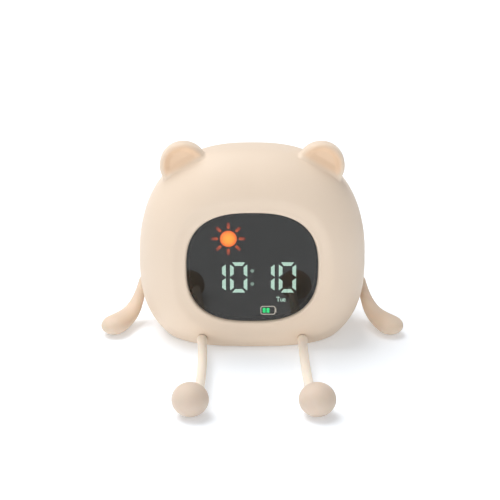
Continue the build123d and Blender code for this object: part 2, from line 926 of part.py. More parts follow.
# Cradle on the housing's floor
with BuildPart() as battery_cradle:
    with BuildSketch(Plane.XY.offset(base_floor)):
        with Locations((0, battery_y)):
            Rectangle(battery_length + 2 * (battery_clearance + cradle_wall), battery_diameter)
    extrude(amount=cradle_height)
    with BuildSketch(Plane.YZ.offset(-battery_length / 2 - battery_clearance)):
        with Locations((battery_y, battery_height)):
            Circle(battery_diameter / 2 + battery_clearance)
    extrude(amount=battery_length + 2 * battery_clearance, mode=Mode.SUBTRACT)
battery_cradle.part.label = "battery_cradle"
export_step(battery_cradle.part, "parts/battery_cradle.step")

# Two wires from the cell to the control board
with BuildPart() as battery_lead:
    battery_top = battery_height + battery_diameter / 2
    for x in (battery_lead_x, battery_lead_x + wire_spacing):
        with BuildLine() as route:
            FilletPolyline(
                (x, battery_y, battery_top),
                (x, battery_y, battery_top + battery_lead_rise),
                (x, control_front, battery_top + battery_lead_rise),
                radius=wire_bend,
            )
        with BuildSketch(Plane(origin=(x, battery_y, battery_top), z_dir=(0, 0, 1))):
            Circle(wire_diameter / 2)
        sweep(path=route.wire())
battery_lead.part.label = "battery_lead"
export_step(battery_lead.part, "parts/battery_lead.step")

# Flat cable from the display board to the control board, bowed over the cell
board_lean = radians(face_tilt)
ribbon_start = lens_front + display_board_back / cos(board_lean)
ribbon_start += (ribbon_height - lens_middle) * sin(board_lean) / cos(board_lean) + ribbon_gap
ribbon_end = control_front - ribbon_gap
with BuildPart() as ribbon_cable:
    with BuildSketch(Plane.YZ.offset(ribbon_x - ribbon_width / 2)):
        with BuildLine() as route:
            FilletPolyline(
                (ribbon_start, ribbon_height),
                (ribbon_start + ribbon_straight, ribbon_height),
                (ribbon_start + ribbon_straight + ribbon_slope, ribbon_height + ribbon_bow),
                (ribbon_end - ribbon_straight - ribbon_slope, ribbon_height + ribbon_bow),
                (ribbon_end - ribbon_straight, ribbon_height),
                (ribbon_end, ribbon_height),
                radius=ribbon_bend,
            )
        trace(line_width=ribbon_thickness)
    extrude(amount=ribbon_width)
ribbon_cable.part.label = "ribbon_cable"
export_step(ribbon_cable.part, "parts/ribbon_cable.step")

# Speaker: basket, cone and magnet, turned about the grille's axis
speaker_axis = Axis((0, 0, speaker_height), (0, 1, 0))
speaker_plane = Plane((0, back_inside, speaker_height))
basket_front = -speaker_flange - speaker_basket_depth
magnet_half = speaker_magnet_diameter / 2
rim_inside = speaker_diameter / 2 - speaker_rim
with BuildPart() as speaker_frame:
    with BuildSketch(speaker_plane):
        with BuildLine():
            Polyline(
                (rim_inside, 0),
                (speaker_diameter / 2, 0),
                (speaker_diameter / 2, -speaker_flange),
                (rim_inside + speaker_wall, -speaker_flange),
                (magnet_half, basket_front),
                (0, basket_front),
                (0, basket_front + speaker_wall),
                (magnet_half - speaker_wall, basket_front + speaker_wall),
                (rim_inside, -speaker_flange),
                close=True,
            )
        make_face()
    revolve(axis=speaker_axis)
speaker_frame.part.label = "speaker_frame"
export_step(speaker_frame.part, "parts/speaker_frame.step")

cone_front = basket_front + speaker_wall + cone_floor_gap
with BuildPart() as speaker_cone:
    with BuildSketch(speaker_plane):
        with BuildLine():
            cone_edge = rim_inside - cone_gap
            cap_rise = cone_front + cone_cap_radius / 2
            Polyline(
                (cone_edge, -cone_gap - cone_thickness),
                (cone_edge, -cone_gap),
                (cone_cap_radius, cap_rise + cone_thickness),
                (0, cap_rise + cone_thickness),
                (0, cap_rise),
                (cone_cap_radius, cap_rise),
                close=True,
            )
        make_face()
    revolve(axis=speaker_axis)
speaker_cone.part.label = "speaker_cone"
export_step(speaker_cone.part, "parts/speaker_cone.step")

with BuildPart() as speaker_magnet:
    with BuildSketch(across(back_inside + basket_front)):
        with Locations((0, speaker_height)):
            Circle(magnet_half)
    extrude(amount=speaker_magnet_depth)
speaker_magnet.part.label = "speaker_magnet"
export_step(speaker_magnet.part, "parts/speaker_magnet.step")

# Two wires from the speaker to the control board
magnet_front = back_inside + basket_front - speaker_magnet_depth
speaker_lead_top = speaker_height - speaker_lead_drop
speaker_lead_low = control_middle + control_post_rise
lead_front = min(magnet_front, control_front) - speaker_lead_stand
with BuildPart() as speaker_lead:
    for x in (-wire_spacing / 2, wire_spacing / 2):
        with BuildLine() as route:
            FilletPolyline(
                (x, magnet_front, speaker_lead_top),
                (x, lead_front, speaker_lead_top),
                (x, lead_front, speaker_lead_low),
                (x, control_front, speaker_lead_low),
                radius=wire_bend,
            )
        with BuildSketch(Plane(origin=(x, magnet_front, speaker_lead_top), z_dir=(0, -1, 0))):
            Circle(wire_diameter / 2)
        sweep(path=route.wire())
speaker_lead.part.label = "speaker_lead"
export_step(speaker_lead.part, "parts/speaker_lead.step")

# Long screws that close the housing
with BuildPart() as case_screws:
    head_seat = post_joint + post_gap + post_shoulder
    with BuildSketch(across(head_seat)):
        with Locations(*post_places):
            Circle(screw_diameter / 2)
    extrude(amount=post_gap + post_shoulder + case_screw_bite)
    with BuildSketch(across(head_seat)):
        with Locations(*post_places):
            Circle(screw_head_diameter / 2)
    extrude(amount=-screw_head_height)
case_screws.part.label = "case_screws"
export_step(case_screws.part, "parts/case_screws.step")

# Non-slip pad in the recess of the base
with BuildPart() as base_pad:
    with BuildSketch(Plane.XY):
        RectangleRounded(pad_width, pad_length, pad_corner)
    extrude(amount=ground_gap + pad_recess)
base_pad.part.label = "base_pad"
export_step(base_pad.part, "parts/base_pad.step")

# Arms that swivel on their plugs
for side, sign in sides.items():
    point, normal = shoulder_points[side]
    shoulder = point + normal * (arm_radius + shoulder_gap)
    hand_tip = Vector(sign * hand_tip_x, hand_tip_depth, hand_half_height)
    outwards = Vector(hand_tip.X - shoulder.X, hand_tip.Y - shoulder.Y, 0).normalized()
    level = Vector(0, 0, 1).cross(outwards)
    fall = Vector(0, 0, hand_tip.Z - shoulder.Z)
    elbow = shoulder + outwards * arm_fall_out + fall * arm_fall_share
    arm_top = shoulder - (elbow - shoulder).normalized() * arm_radius
    arm_path = Edge.make_bezier(arm_top, elbow, shoulder + outwards * arm_turn_out + fall, hand_tip)
    plug_seat = point - normal * (shell_wall + plug_head_gap)
    with BuildPart() as arm:
        for length_share, hand_share, size in arm_sections:
            place = arm_path @ length_share
            with BuildSketch(Plane(origin=place, x_dir=level, z_dir=arm_path % length_share)):
                Ellipse(
                    blend(arm_radius, hand_half_width, hand_share) * size,
                    blend(arm_radius, hand_half_height, hand_share) * size,
                )
        loft()
        with BuildSketch(Plane(origin=plug_seat, z_dir=normal)):
            Circle(plug_diameter / 2)
        extrude(amount=(shoulder - plug_seat).length)
        with BuildSketch(Plane(origin=plug_seat, z_dir=normal)):
            Circle(plug_head_diameter / 2)
        extrude(amount=-plug_head_thickness)
    arm.part.label = side + "_arm"
    export_step(arm.part, "parts/" + arm.part.label + ".step")

# Legs with a round root, the plugs that hold them and the ball feet
for side, sign in sides.items():
    point, normal = hip_points[side]
    pivot = hip_pivot(side)
    ankle = Vector(sign * ankle_x[side], foot_y + ankle_sink, foot_middle)
    bow_share = (leg_bow_y - pivot.Y) / (ankle.Y - pivot.Y)
    bow = Vector(sign * leg_bow_x[side], leg_bow_y, blend(pivot.Z, ankle.Z, bow_share))
    leg_path = Edge.make_three_point_arc(pivot, bow, ankle)
    with BuildPart() as leg:
        for length_share in leg_sections:
            with BuildSketch(Plane(origin=leg_path @ length_share, z_dir=leg_path % length_share)):
                Circle(blend(leg_radius, leg_ankle_radius, length_share))
        loft()
        with Locations(pivot):
            Sphere(leg_root_radius)
    leg.part.label = side + "_leg"
    export_step(leg.part, "parts/" + leg.part.label + ".step")

    plug_seat = point - normal * shell_wall
    with BuildPart() as leg_plug:
        with BuildSketch(Plane(origin=plug_seat, z_dir=normal)):
            Circle(leg_plug_diameter / 2)
        extrude(amount=(pivot - plug_seat).length)
        with BuildSketch(Plane(origin=plug_seat, z_dir=normal)):
            Circle(leg_plug_head_diameter / 2)
        extrude(amount=-leg_plug_head_thickness)
        with Locations(pivot):
            Sphere(leg_root_radius + dimple_clearance, mode=Mode.SUBTRACT)
    leg_plug.part.label = side + "_leg_plug"
    export_step(leg_plug.part, "parts/" + leg_plug.part.label + ".step")

    with BuildPart() as foot:
        with Locations((sign * foot_x[side], foot_y, foot_diameter / 2)):
            Sphere(foot_diameter / 2)
        scale(by=(1, 1, foot_height / foot_diameter))
        with BuildSketch(Plane(origin=ankle, z_dir=-(leg_path % 1))):
            Circle(leg_ankle_radius + socket_clearance)
        extrude(amount=foot_diameter, mode=Mode.SUBTRACT)
    foot.part.label = side + "_foot"
    export_step(foot.part, "parts/" + foot.part.label + ".step")
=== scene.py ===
"""Looks of the sleep trainer clock: soft-touch housing, tinted display, silicone arms, legs and feet."""

import json
import math

import bmesh
import bpy
import numpy as np
from bpy.props import FloatProperty, FloatVectorProperty, PointerProperty, StringProperty
from bpy.types import Operator, Panel, PropertyGroup
from mathutils import Matrix, Vector
from mathutils.bvhtree import BVHTree


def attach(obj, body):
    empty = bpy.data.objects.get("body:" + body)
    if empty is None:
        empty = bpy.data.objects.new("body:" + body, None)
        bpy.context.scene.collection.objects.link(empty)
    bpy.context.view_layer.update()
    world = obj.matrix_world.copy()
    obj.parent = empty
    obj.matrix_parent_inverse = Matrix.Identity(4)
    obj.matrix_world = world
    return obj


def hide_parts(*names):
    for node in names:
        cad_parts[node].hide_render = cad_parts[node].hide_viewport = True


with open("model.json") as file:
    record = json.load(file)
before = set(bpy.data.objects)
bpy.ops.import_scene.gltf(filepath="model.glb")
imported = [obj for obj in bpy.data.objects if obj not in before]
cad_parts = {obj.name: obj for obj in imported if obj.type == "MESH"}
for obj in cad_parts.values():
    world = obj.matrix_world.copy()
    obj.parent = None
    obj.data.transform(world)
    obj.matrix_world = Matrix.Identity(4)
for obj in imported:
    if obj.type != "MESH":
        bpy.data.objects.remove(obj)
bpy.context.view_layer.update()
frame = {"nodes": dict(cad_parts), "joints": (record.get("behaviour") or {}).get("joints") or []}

bl_info = {
    "name": "Sleep trainer clock",
    "version": (1, 0, 0),
    "blender": (4, 5, 0),
    "location": "View3D > Sidebar > Clock",
    "description": "Shells, soft limbs, display and finishes of a sleep trainer clock",
    "category": "Object",
}

SIDES = {"right": 1, "left": -1}
BUTTONS = ("set", "down", "up", "light")
BUTTON_PITCH = 0.014
BUTTON_HEIGHT = 0.03
SHARP_ANGLE = math.radians(38)


def size(title, value, about):
    """Length in metres that a user can change."""
    return FloatProperty(name=title, description=about, default=value, unit="LENGTH", precision=5)


def amount(title, value, about):
    """Plain number that a user can change."""
    return FloatProperty(name=title, description=about, default=value, precision=3)


def angle(title, degrees, about):
    """Angle that a user can change."""
    return FloatProperty(name=title, description=about, default=math.radians(degrees), subtype="ANGLE")


def colour(title, value, about):
    """Colour that a user can change."""
    return FloatVectorProperty(name=title, description=about, default=value, subtype="COLOR", min=0, max=1)


class ClockHousing(PropertyGroup):
    """Sizes and colour of the two housing shells and the ears, and the colour of the painted shade in the
    ears' dishes.
    """

    width: size("Width", 0.12, "Widest width of the housing")
    height: size("Height", 0.1015, "Height of the housing's top")
    widest: size("Widest height", 0.04, "Height of the widest line")
    lower_reach: size("Lower reach", 0.053, "Reach of the outline below its widest line")
    upper_power: amount("Upper power", 2.49, "Squareness of the upper outline")
    lower_power: amount("Lower power", 2.56, "Squareness of the lower outline")
    front_reach: size("Front reach", 0.028, "Depth from the widest section to the lip")
    front_power: amount("Front power", 1.72, "Squareness of the front's curve")
    back_reach: size("Back reach", 0.042, "Depth of the back's curve")
    back_power: amount("Back power", 3.0, "Squareness of the back's curve")
    back_flat: size("Flat back", 0.0395, "Depth of the flat back face")
    back_round: size("Back round", 0.0022, "Rounding where the side meets the flat back")
    seam: size("Seam depth", 0.025, "Depth of the seam between the shells")
    seam_groove: size("Seam groove", 0.0003, "Rounding on both edges of the seam")
    wall: size("Wall", 0.0024, "Wall of the shells")
    base_wall: size("Base wall", 0.003, "Wall of the base")
    ground_gap: size("Ground gap", 0.0005, "Height of the base over the floor")
    lip_radius: size("Lip radius", 0.0028, "Radius of the rolled lip round the lens")
    ear_x: size("Ear offset", 0.036, "Distance of each ear from the middle")
    ear_height: size("Ear height", 0.093, "Height of each ear's middle")
    ear_radius: size("Ear radius", 0.0123, "Radius of each ear")
    ear_thickness: size("Ear thickness", 0.0094, "Thickness of each ear")
    ear_rim: size("Ear rim", 0.0024, "Rounding of each ear's rim")
    ear_dish: size("Ear dish", 0.0014, "Depth of the dish in each ear")
    ear_fillet: size("Ear fillet", 0.0015, "Reach of the fillet between an ear and the housing")
    tint: colour("Colour", (0.835, 0.685, 0.542), "Colour of the soft-touch housing")
    # Painted shade: a darker, warmer colour in each ear's dish that stands in for the shade in that hollow
    dish_shade: colour("Ear colour", (0.85, 0.62, 0.43), "Warmer colour in the dish of each ear")


class ClockLens(PropertyGroup):
    """Sizes of the lens and of the recess that holds it."""

    width: size("Width", 0.0681, "Width of the lens")
    height: size("Height", 0.0586, "Height of the lens")
    middle: size("Middle", 0.045, "Height of the lens's middle")
    power: amount("Power", 2.65, "Squareness of the lens outline")
    gap: size("Gap", 0.00014, "Gap between lens and lip")
    recess: size("Recess", 0.0002, "Step from the lip's edge down to the lens")
    tilt: angle("Tilt", 3, "Lean of the lens")
    ledge: size("Ledge", 0.0015, "Width of the ledge under the lens")
    ledge_front: size("Ledge front", 0.0025, "Depth of the ledge behind the lens's face")
    ledge_back: size("Ledge back", 0.0048, "Depth of the ledge's back")
    frame_front: size("Light box front", 0.0023, "Depth of the light box's face")


class ClockLimbs(PropertyGroup):
    """Sizes and colour of the soft arms, legs and feet; one silicone whose tint per part holds painted
    light and shade.
    """

    shoulder_gap: size("Shoulder gap", 0.0003, "Gap between a shoulder and the housing")
    arm_radius: size("Arm radius", 0.0023, "Radius of the arm at its shoulder")
    hand_tip_x: size("Hand reach", 0.0777, "Distance of the hand's tip from the middle")
    hand_tip_depth: size("Hand depth", -0.0137, "Depth of the hand's tip")
    hand_half_width: size("Hand half width", 0.0075, "Half the width of the hand")
    hand_half_height: size("Hand half height", 0.0052, "Half the height of the hand")
    hip_x: size("Hip offset", 0.026, "Distance of each hip from the middle")
    hip_height: size("Hip height", 0.0064, "Height of the hips")
    hip_stand: size("Hip stand", 0.0018, "Distance of the leg's round root from the housing")
    root_radius: size("Root radius", 0.0027, "Radius of the leg's round root")
    leg_radius: size("Leg radius", 0.0025, "Radius of the leg near its root")
    ankle_radius: size("Ankle radius", 0.0024, "Radius of the leg at its ankle")
    foot_diameter: size("Foot diameter", 0.0181, "Width of the ball foot")
    foot_height: size("Foot height", 0.0166, "Height of the ball foot")
    foot_depth: size("Foot depth", -0.1065, "Depth of the foot's middle")
    plug_radius: size("Arm plug radius", 0.0017, "Radius of an arm's plug")
    plug_head_radius: size("Arm plug head", 0.0038, "Radius of the head of an arm's plug")
    leg_plug_radius: size("Leg plug radius", 0.0018, "Radius of a leg's plug")
    leg_plug_head_radius: size("Leg plug head", 0.003, "Radius of the head of a leg's plug")
    # One silicone in three tints: the arms and feet darker as painted shade, the legs lighter as painted
    # light
    arm_tint: colour("Arm colour", (0.775, 0.625, 0.49), "Colour of the silicone arms")
    leg_tint: colour("Leg colour", (0.95, 0.83, 0.70), "Colour of the silicone legs")
    foot_tint: colour("Foot colour", (0.715, 0.585, 0.475), "Colour of the silicone feet")


class ClockDisplay(PropertyGroup):
    """Colours and words of the lit display."""

    glass: colour("Glass", (0.10, 0.10, 0.10), "Tint of the lens")
    mint: colour("Digits", (0.554, 0.813, 0.677), "Colour of the lit digits")
    sun_core: colour("Sun core", (0.97, 0.43, 0.035), "Colour in the sun's middle")
    sun_edge: colour("Sun edge", (0.86, 0.11, 0.004), "Colour at the sun's edge")
    ray: colour("Rays", (0.13, 0.010, 0.002), "Colour of the sun's rays")
    charge: colour("Charge", (0.0, 0.935, 0.25), "Colour of the lit charge cells")
    outline: colour("Charge outline", (0.55, 0.50, 0.42), "Colour of the charge sign's outline")
    day: StringProperty(name="Day", description="Short name of the day on show", default="Tue")
    day_height: size("Day height", 0.0027, "Height of the day's capitals")


class ClockStage(PropertyGroup):
    """Camera and light."""

    distance: size("Distance", 0.881, "Distance of the camera")
    elevation: angle("Elevation", 20, "Camera's height angle")
    aim: size("Aim", 0.05, "Height that the camera looks at")
    focal: amount("Focal length", 119.3, "Camera lens, in millimetres")
    key: amount("Key", 2.1, "Strength of the main lamp")
    fill: amount("Fill", 0.92, "Strength of the fill lamp")
    sky: amount("Sky", 0.4, "Strength of the light from all round")


# Mesh helpers


def blend(start, end, share):
    """Value a share of the way from start to end."""
    return start + (end - start) * share


def ease(value, low, high):
    """Smooth step from 0 at low to 1 at high."""
    share = min(max((value - low) / (high - low), 0.0), 1.0)
    return share * share * (3 - 2 * share)


def grid_faces(rings, points, wrap_rings):
    """Quads between neighbouring rings of the same number of points."""
    faces = []
    for ring in range(rings if wrap_rings else rings - 1):
        low = ring * points
        high = (ring + 1) % rings * points
        for point in range(points):
            after = (point + 1) % points
            faces.append((low + point, low + after, high + after, high + point))
    return faces


def capped_tube(rings):
    """Points and faces of a tube through rings, with a pole in the middle of each end."""
    rings = np.asarray(rings)
    count, points = rings.shape[:2]
    verts = [tuple(place) for place in rings.reshape(-1, 3)]
    faces = grid_faces(count, points, False)
    for ring, turned in ((0, True), (count - 1, False)):
        pole = len(verts)
        verts.append(tuple(rings[ring].mean(axis=0)))
        for point in range(points):
            edge = (ring * points + point, ring * points + (point + 1) % points)
            faces.append((edge[1], edge[0], pole) if turned else (edge[0], edge[1], pole))
    return verts, faces


def closed_band(rings):
    """Points and faces of rings that close on themselves both ways."""
    rings = np.asarray(rings)
    verts = [tuple(place) for place in rings.reshape(-1, 3)]
    return verts, grid_faces(rings.shape[0], rings.shape[1], True)


def oval_ring(middle, first, second, half_width, half_height, points):
    """Oval ring about a point, in the plane of two directions."""
    ring = []
    for step in range(points):
        turn = 2 * math.pi * step / points
        place = middle + first * (half_width * math.cos(turn)) + second * (half_height * math.sin(turn))
        ring.append(tuple(place))
    return ring


def turned_rings(profile, origin, axis, segments):
    """Circles of a profile of (radius, height) turned about an axis."""
    origin = Vector(origin)
    axis = Vector(axis).normalized()
    first = axis.orthogonal().normalized()
    second = axis.cross(first)
    rings = []
    for radius, height in profile:
        rings.append(oval_ring(origin + axis * height, first, second, radius, radius, segments))
    return rings


def lathe(profile, origin, axis, segments):
    """Points and faces of a turned solid whose ends are closed on the axis."""
    return capped_tube(turned_rings(profile, origin, axis, segments))


def ball_profile(radius, half_height, middle, steps):
    """Radius and height along a ball from pole to pole, about a middle height."""
    profile = []
    for step in range(1, steps):
        turn = math.pi * step / steps
        profile.append((radius * math.sin(turn), middle - half_height * math.cos(turn)))
    return profile


def rounded_loop(half_width, half_height, corner, growth, points):
    """Distances across and up from the middle of a rounded rectangle, grown all round."""
    loop = []
    for step in range(points):
        turn = 2 * math.pi * (step + 0.5) / points
        across = math.copysign(half_width - corner, math.cos(turn)) + (corner + growth) * math.cos(turn)
        up = math.copysign(half_height - corner, math.sin(turn)) + (corner + growth) * math.sin(turn)
        loop.append((across, up))
    return loop


def shade(mesh):
    """Shade a mesh smooth between its sharp edges."""
    mesh.shade_smooth()
    mesh.set_sharp_from_angle(angle=SHARP_ANGLE)
    return mesh


def shaded_mesh(name, work):
    """Shaded mesh from a bmesh, which goes."""
    mesh = bpy.data.meshes.new(name)
    work.to_mesh(mesh)
    work.free()
    return shade(mesh)


def joined_mesh(name, shells):
    """One mesh from several shells of points and faces, all pointing outwards."""
    work = bmesh.new()
    for verts, faces in shells:
        made = [work.verts.new(place) for place in verts]
        for face in faces:
            work.faces.new([made[index] for index in face])
    bmesh.ops.recalc_face_normals(work, faces=work.faces)
    return shaded_mesh(name, work)


def merged_mesh(name, *meshes):
    """One mesh that holds the shells of several."""
    work = bmesh.new()
    for part in meshes:
        work.from_mesh(part)
    return shaded_mesh(name, work)


def add_object(name, data):
    """New object in the scene that shows a mesh, lamp or other data."""
    thing = bpy.data.objects.new(name, data)
    bpy.context.collection.objects.link(thing)
    return thing


def place_piece(name, mesh, material, body, nodes):
    """Put a finished mesh in the scene on its body, in place of CAD nodes."""
    piece = add_object(name, mesh)
    mesh.materials.clear()
    mesh.materials.append(material)
    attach(piece, body)
    if nodes:
        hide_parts(*nodes)


def applied_mesh(holder):
    """Plain mesh of an object with its modifiers applied; the object goes."""
    bpy.context.view_layer.update()
    shown = holder.evaluated_get(bpy.context.evaluated_depsgraph_get())
    mesh = bpy.data.meshes.new_from_object(shown)
    bpy.data.objects.remove(holder)
    return mesh


def cut_mesh(mesh, cutter_mesh):
    """Mesh with the cutter's space taken out of it."""
    holder = add_object("cut_holder", mesh)
    boolean = holder.modifiers.new("Openings", "BOOLEAN")
    boolean.operation = "DIFFERENCE"
    boolean.solver = "EXACT"
    boolean.use_self = True
    cutter = add_object("cutter", cutter_mesh)
    boolean.object = cutter
    result = applied_mesh(holder)
    bpy.data.objects.remove(cutter)
    if not result.polygons:
        raise RuntimeError("the openings left nothing of " + mesh.name)
    return shade(result)


# Housing surface

SIDE_POINTS = 216
BASE_POINTS = 40
FREE_CORNER = math.radians(78)
FLOORLESS = -1.0
LIP_DIP = 0.0011
DIP_REACH = 0.0085
CREST_BLEND = math.radians(24)
RING_POINTS = 40
DOME_RINGS = 44
SIDE_RINGS = 22
LIP_RINGS = 12


def outline_ring(depth, height, tilt, outline, floor):
    """Ring of a housing section, flat where it meets the floor of the section."""
    half_width, rise, drop, upper, lower = outline
    reach = (height - floor) / (drop * math.cos(tilt))
    corner = FREE_CORNER
    if reach < 1:
        corner = min(corner, math.asin(reach ** (lower / 2)))
    sides = np.linspace(-corner, math.pi + corner, SIDE_POINTS)
    base = np.linspace(math.pi + corner, 2 * math.pi - corner, BASE_POINTS + 2)[1:-1]
    turns = np.concatenate([sides, base])
    across = np.cos(turns)
    up = np.sin(turns)
    power = np.where(up >= 0, 2 / upper, 2 / lower)
    x = half_width * np.sign(across) * np.abs(across) ** power
    lift = np.where(up >= 0, rise, drop) * np.sign(up) * np.abs(up) ** power
    z = np.maximum(height + lift * math.cos(tilt), floor)
    return np.stack([x, depth + lift * math.sin(tilt), z], axis=1)


def face_place(house, lens, across, rise, inwards):
    """Point on a plane along the lens, a distance behind its face."""
    lean = math.sin(lens.tilt)
    upright = math.cos(lens.tilt)
    front = house.lip_radius + lens.recess - house.front_reach
    depth = front + inwards * upright + rise * lean
    return Vector((across, depth, lens.middle - inwards * lean + rise * upright))


def lens_ring(house, lens, inwards, margin):
    """Ring along the lens outline grown by a margin."""
    middle = face_place(house, lens, 0, 0, inwards)
    half_height = lens.height / 2 + margin
    outline = (lens.width / 2 + margin, half_height, half_height, lens.power, lens.power)
    return outline_ring(middle.y, middle.z, lens.tilt, outline, FLOORLESS)


def front_outline(house, lens, half_width, inset):
    """Height of the widest line and outline of a section between the lens and the widest section."""
    inner_half = lens.width / 2 + lens.gap
    inner_rise = lens.height / 2 + lens.gap
    share = (half_width - inner_half) / (house.width / 2 - inner_half)
    rise = blend(inner_rise, house.height - house.widest, share) - inset
    drop = blend(inner_rise, house.lower_reach, share) - inset
    upper = blend(lens.power, house.upper_power, share)
    lower = blend(lens.power, house.lower_power, share)
    return blend(lens.middle, house.widest, share), (half_width - inset, rise, drop, upper, lower)


def lip_dip(house, lens, half_width):
    """Depth by which the face dips round the lens, none at the lens's edge and further out."""
    beyond = half_width - lens.width / 2 - lens.gap
    inner = ease(beyond, 0, house.lip_radius)
    outer = ease(beyond, house.lip_radius, DIP_REACH)
    return LIP_DIP * inner * (1 - outer)


def front_ring(house, lens, turn, wall, floor):
    """Ring of the domed front, from the lip's crest at turn 0 to the widest section at a quarter turn."""
    crest = lens.width / 2 + lens.gap + house.lip_radius
    swell = math.sin(turn) ** (2 / house.front_power)
    fall = math.cos(turn) ** (2 / house.front_power)
    half_width = blend(crest, house.width / 2, swell)
    height, outline = front_outline(house, lens, half_width, wall * math.sin(turn))
    crest_place = face_place(house, lens, 0, 0, -lens.recess - house.lip_radius)
    crest_height = front_outline(house, lens, crest, 0)[0]
    height += (crest_place.z - crest_height) * (1 - ease(turn, 0, CREST_BLEND))
    depth = lip_dip(house, lens, half_width) - house.front_reach * fall + wall * math.cos(turn)
    return outline_ring(depth, height, lens.tilt * math.cos(turn), outline, floor)


def back_ring(house, depth, inset, floor):
    """Ring of the back at a depth, moved inwards by an inset."""
    share = max(1 - (depth / house.back_reach) ** house.back_power, 0) ** (1 / house.back_power)
    rise = (house.height - house.widest) * share - inset
    drop = house.lower_reach * share - inset
    outline = (house.width / 2 * share - inset, rise, drop, house.upper_power, house.lower_power)
    return outline_ring(depth, house.widest, 0, outline, floor)


def dome_rings(house, lens):
    """Rings of the front shell's outside, from the seam to the lip's edge."""
    floor = house.ground_gap
    groove = house.seam_groove
    rings = [back_ring(house, house.seam, groove, floor)]
    for depth in np.linspace(house.seam - groove, 0, SIDE_RINGS):
        rings.append(back_ring(house, depth, 0, floor))
    for turn in np.linspace(math.pi / 2, 0, DOME_RINGS)[1:]:
        rings.append(front_ring(house, lens, turn, 0, floor))
    crest = lens.width / 2 + lens.gap + house.lip_radius
    for turn in np.linspace(0, math.pi / 2, LIP_RINGS)[1:]:
        outwards = -lens.recess - house.lip_radius * math.cos(turn)
        middle = face_place(house, lens, 0, 0, outwards)
        half_width = crest - house.lip_radius * math.sin(turn)
        depth = middle.y + lip_dip(house, lens, half_width)
        outline = front_outline(house, lens, half_width, 0)[1]
        rings.append(outline_ring(depth, middle.z, lens.tilt, outline, FLOORLESS))
    return rings


def surface_hit(tree, start, direction):
    """Point and outward normal where a line from outside first meets a surface."""
    place, normal = tree.ray_cast(Vector(start), Vector(direction))[:2]
    if place is None:
        raise RuntimeError("no surface was met from " + str(tuple(start)))
    return place, normal if normal.dot(Vector(direction)) < 0 else -normal


def dome_tree(house, lens):
    """Search tree of the housing's outer surface in front of the seam."""
    rings = np.asarray(dome_rings(house, lens))
    verts = [Vector(place) for place in rings.reshape(-1, 3)]
    return BVHTree.FromPolygons(verts, grid_faces(rings.shape[0], rings.shape[1], False))


EAR_SEGMENTS = 144
EAR_STEPS = 14
DISH_STEPS = 32
DISH_RISE = 0.0012
DISH_WALL = 0.0032
FOOT_WALL = 0.004
# Distances from an ear's rim and foot where the painted shade in its dish starts, and where it is full
# from the rim and from the foot
DISH_SHADE_START = -0.0018
DISH_SHADE_FULL = 0.0006
DISH_SHADE_FOOT = 0.0016
FILLET_POINTS = 240
FILLET_STEPS = 12
FILLET_PULL = 0.39
JOINT_STEPS = 8
SUNK_REACH = 0.0006
SUNK_DEPTH = 0.00002
OUTSIDE = 0.2


def ear_foot(house, tree, side):
    """Point and outward direction of the housing under an ear's middle."""
    return surface_hit(tree, (side * house.ear_x, 0, house.ear_height + OUTSIDE), (0, 0, -1))


def dish_shares(house, place, foot, outwards):
    """Shares of the dish's depth and of its painted shade at a point of an ear, less near rim and foot,
    none behind.
    """
    if place[1] >= 0:
        return 0.0, 0.0
    across = abs(place[0]) - house.ear_x
    up = place[2] - house.ear_height - DISH_RISE
    from_rim = house.ear_radius - house.ear_rim - math.hypot(across, up)
    from_foot = (Vector(place) - foot).dot(outwards)
    depth = ease(from_rim, 0, DISH_WALL) * ease(from_foot, 0, FOOT_WALL)
    dish_shade = ease(from_rim, DISH_SHADE_START, DISH_SHADE_FULL) * ease(from_foot, DISH_SHADE_START, DISH_SHADE_FOOT)
    return depth, dish_shade


def ear_shell(house, tree, side):
    """Round ear with a soft rim and a shallow dish in its front."""
    half = house.ear_thickness / 2
    rim = house.ear_rim
    flat = house.ear_radius - rim
    quarter = np.linspace(0, math.pi / 2, EAR_STEPS + 1)
    profile = [(flat * share, half) for share in np.linspace(0, 1, EAR_STEPS + 1)[1:-1]]
    profile += [(flat + rim * math.sin(turn), half - rim * (1 - math.cos(turn))) for turn in quarter]
    profile += [(flat + rim * math.cos(turn), rim * (1 - math.sin(turn)) - half) for turn in quarter]
    profile += [(flat * share, -half) for share in np.linspace(1, 0, DISH_STEPS + 2)[1:-1]]
    places, faces = lathe(profile, (side * house.ear_x, 0, house.ear_height), (0, 1, 0), EAR_SEGMENTS)
    ground = ear_foot(house, tree, side)
    sunk = []
    for x, y, z in places:
        depth = dish_shares(house, (x, y, z), *ground)[0]
        sunk.append((x, y + house.ear_dish * depth, z))
    return sunk, faces


def smooth_bridge(start, start_way, end, end_way):
    """Points of a curve that leaves one place and reaches another in given directions."""
    pull = (end - start).length * FILLET_PULL
    near = start + start_way * pull
    far = end - end_way * pull
    places = []
    for step in range(FILLET_STEPS + 1):
        share = step / FILLET_STEPS
        rest = 1 - share
        first = start * rest**3 + near * (3 * rest * rest * share)
        places.append(first + far * (3 * rest * share * share) + end * share**3)
    return places


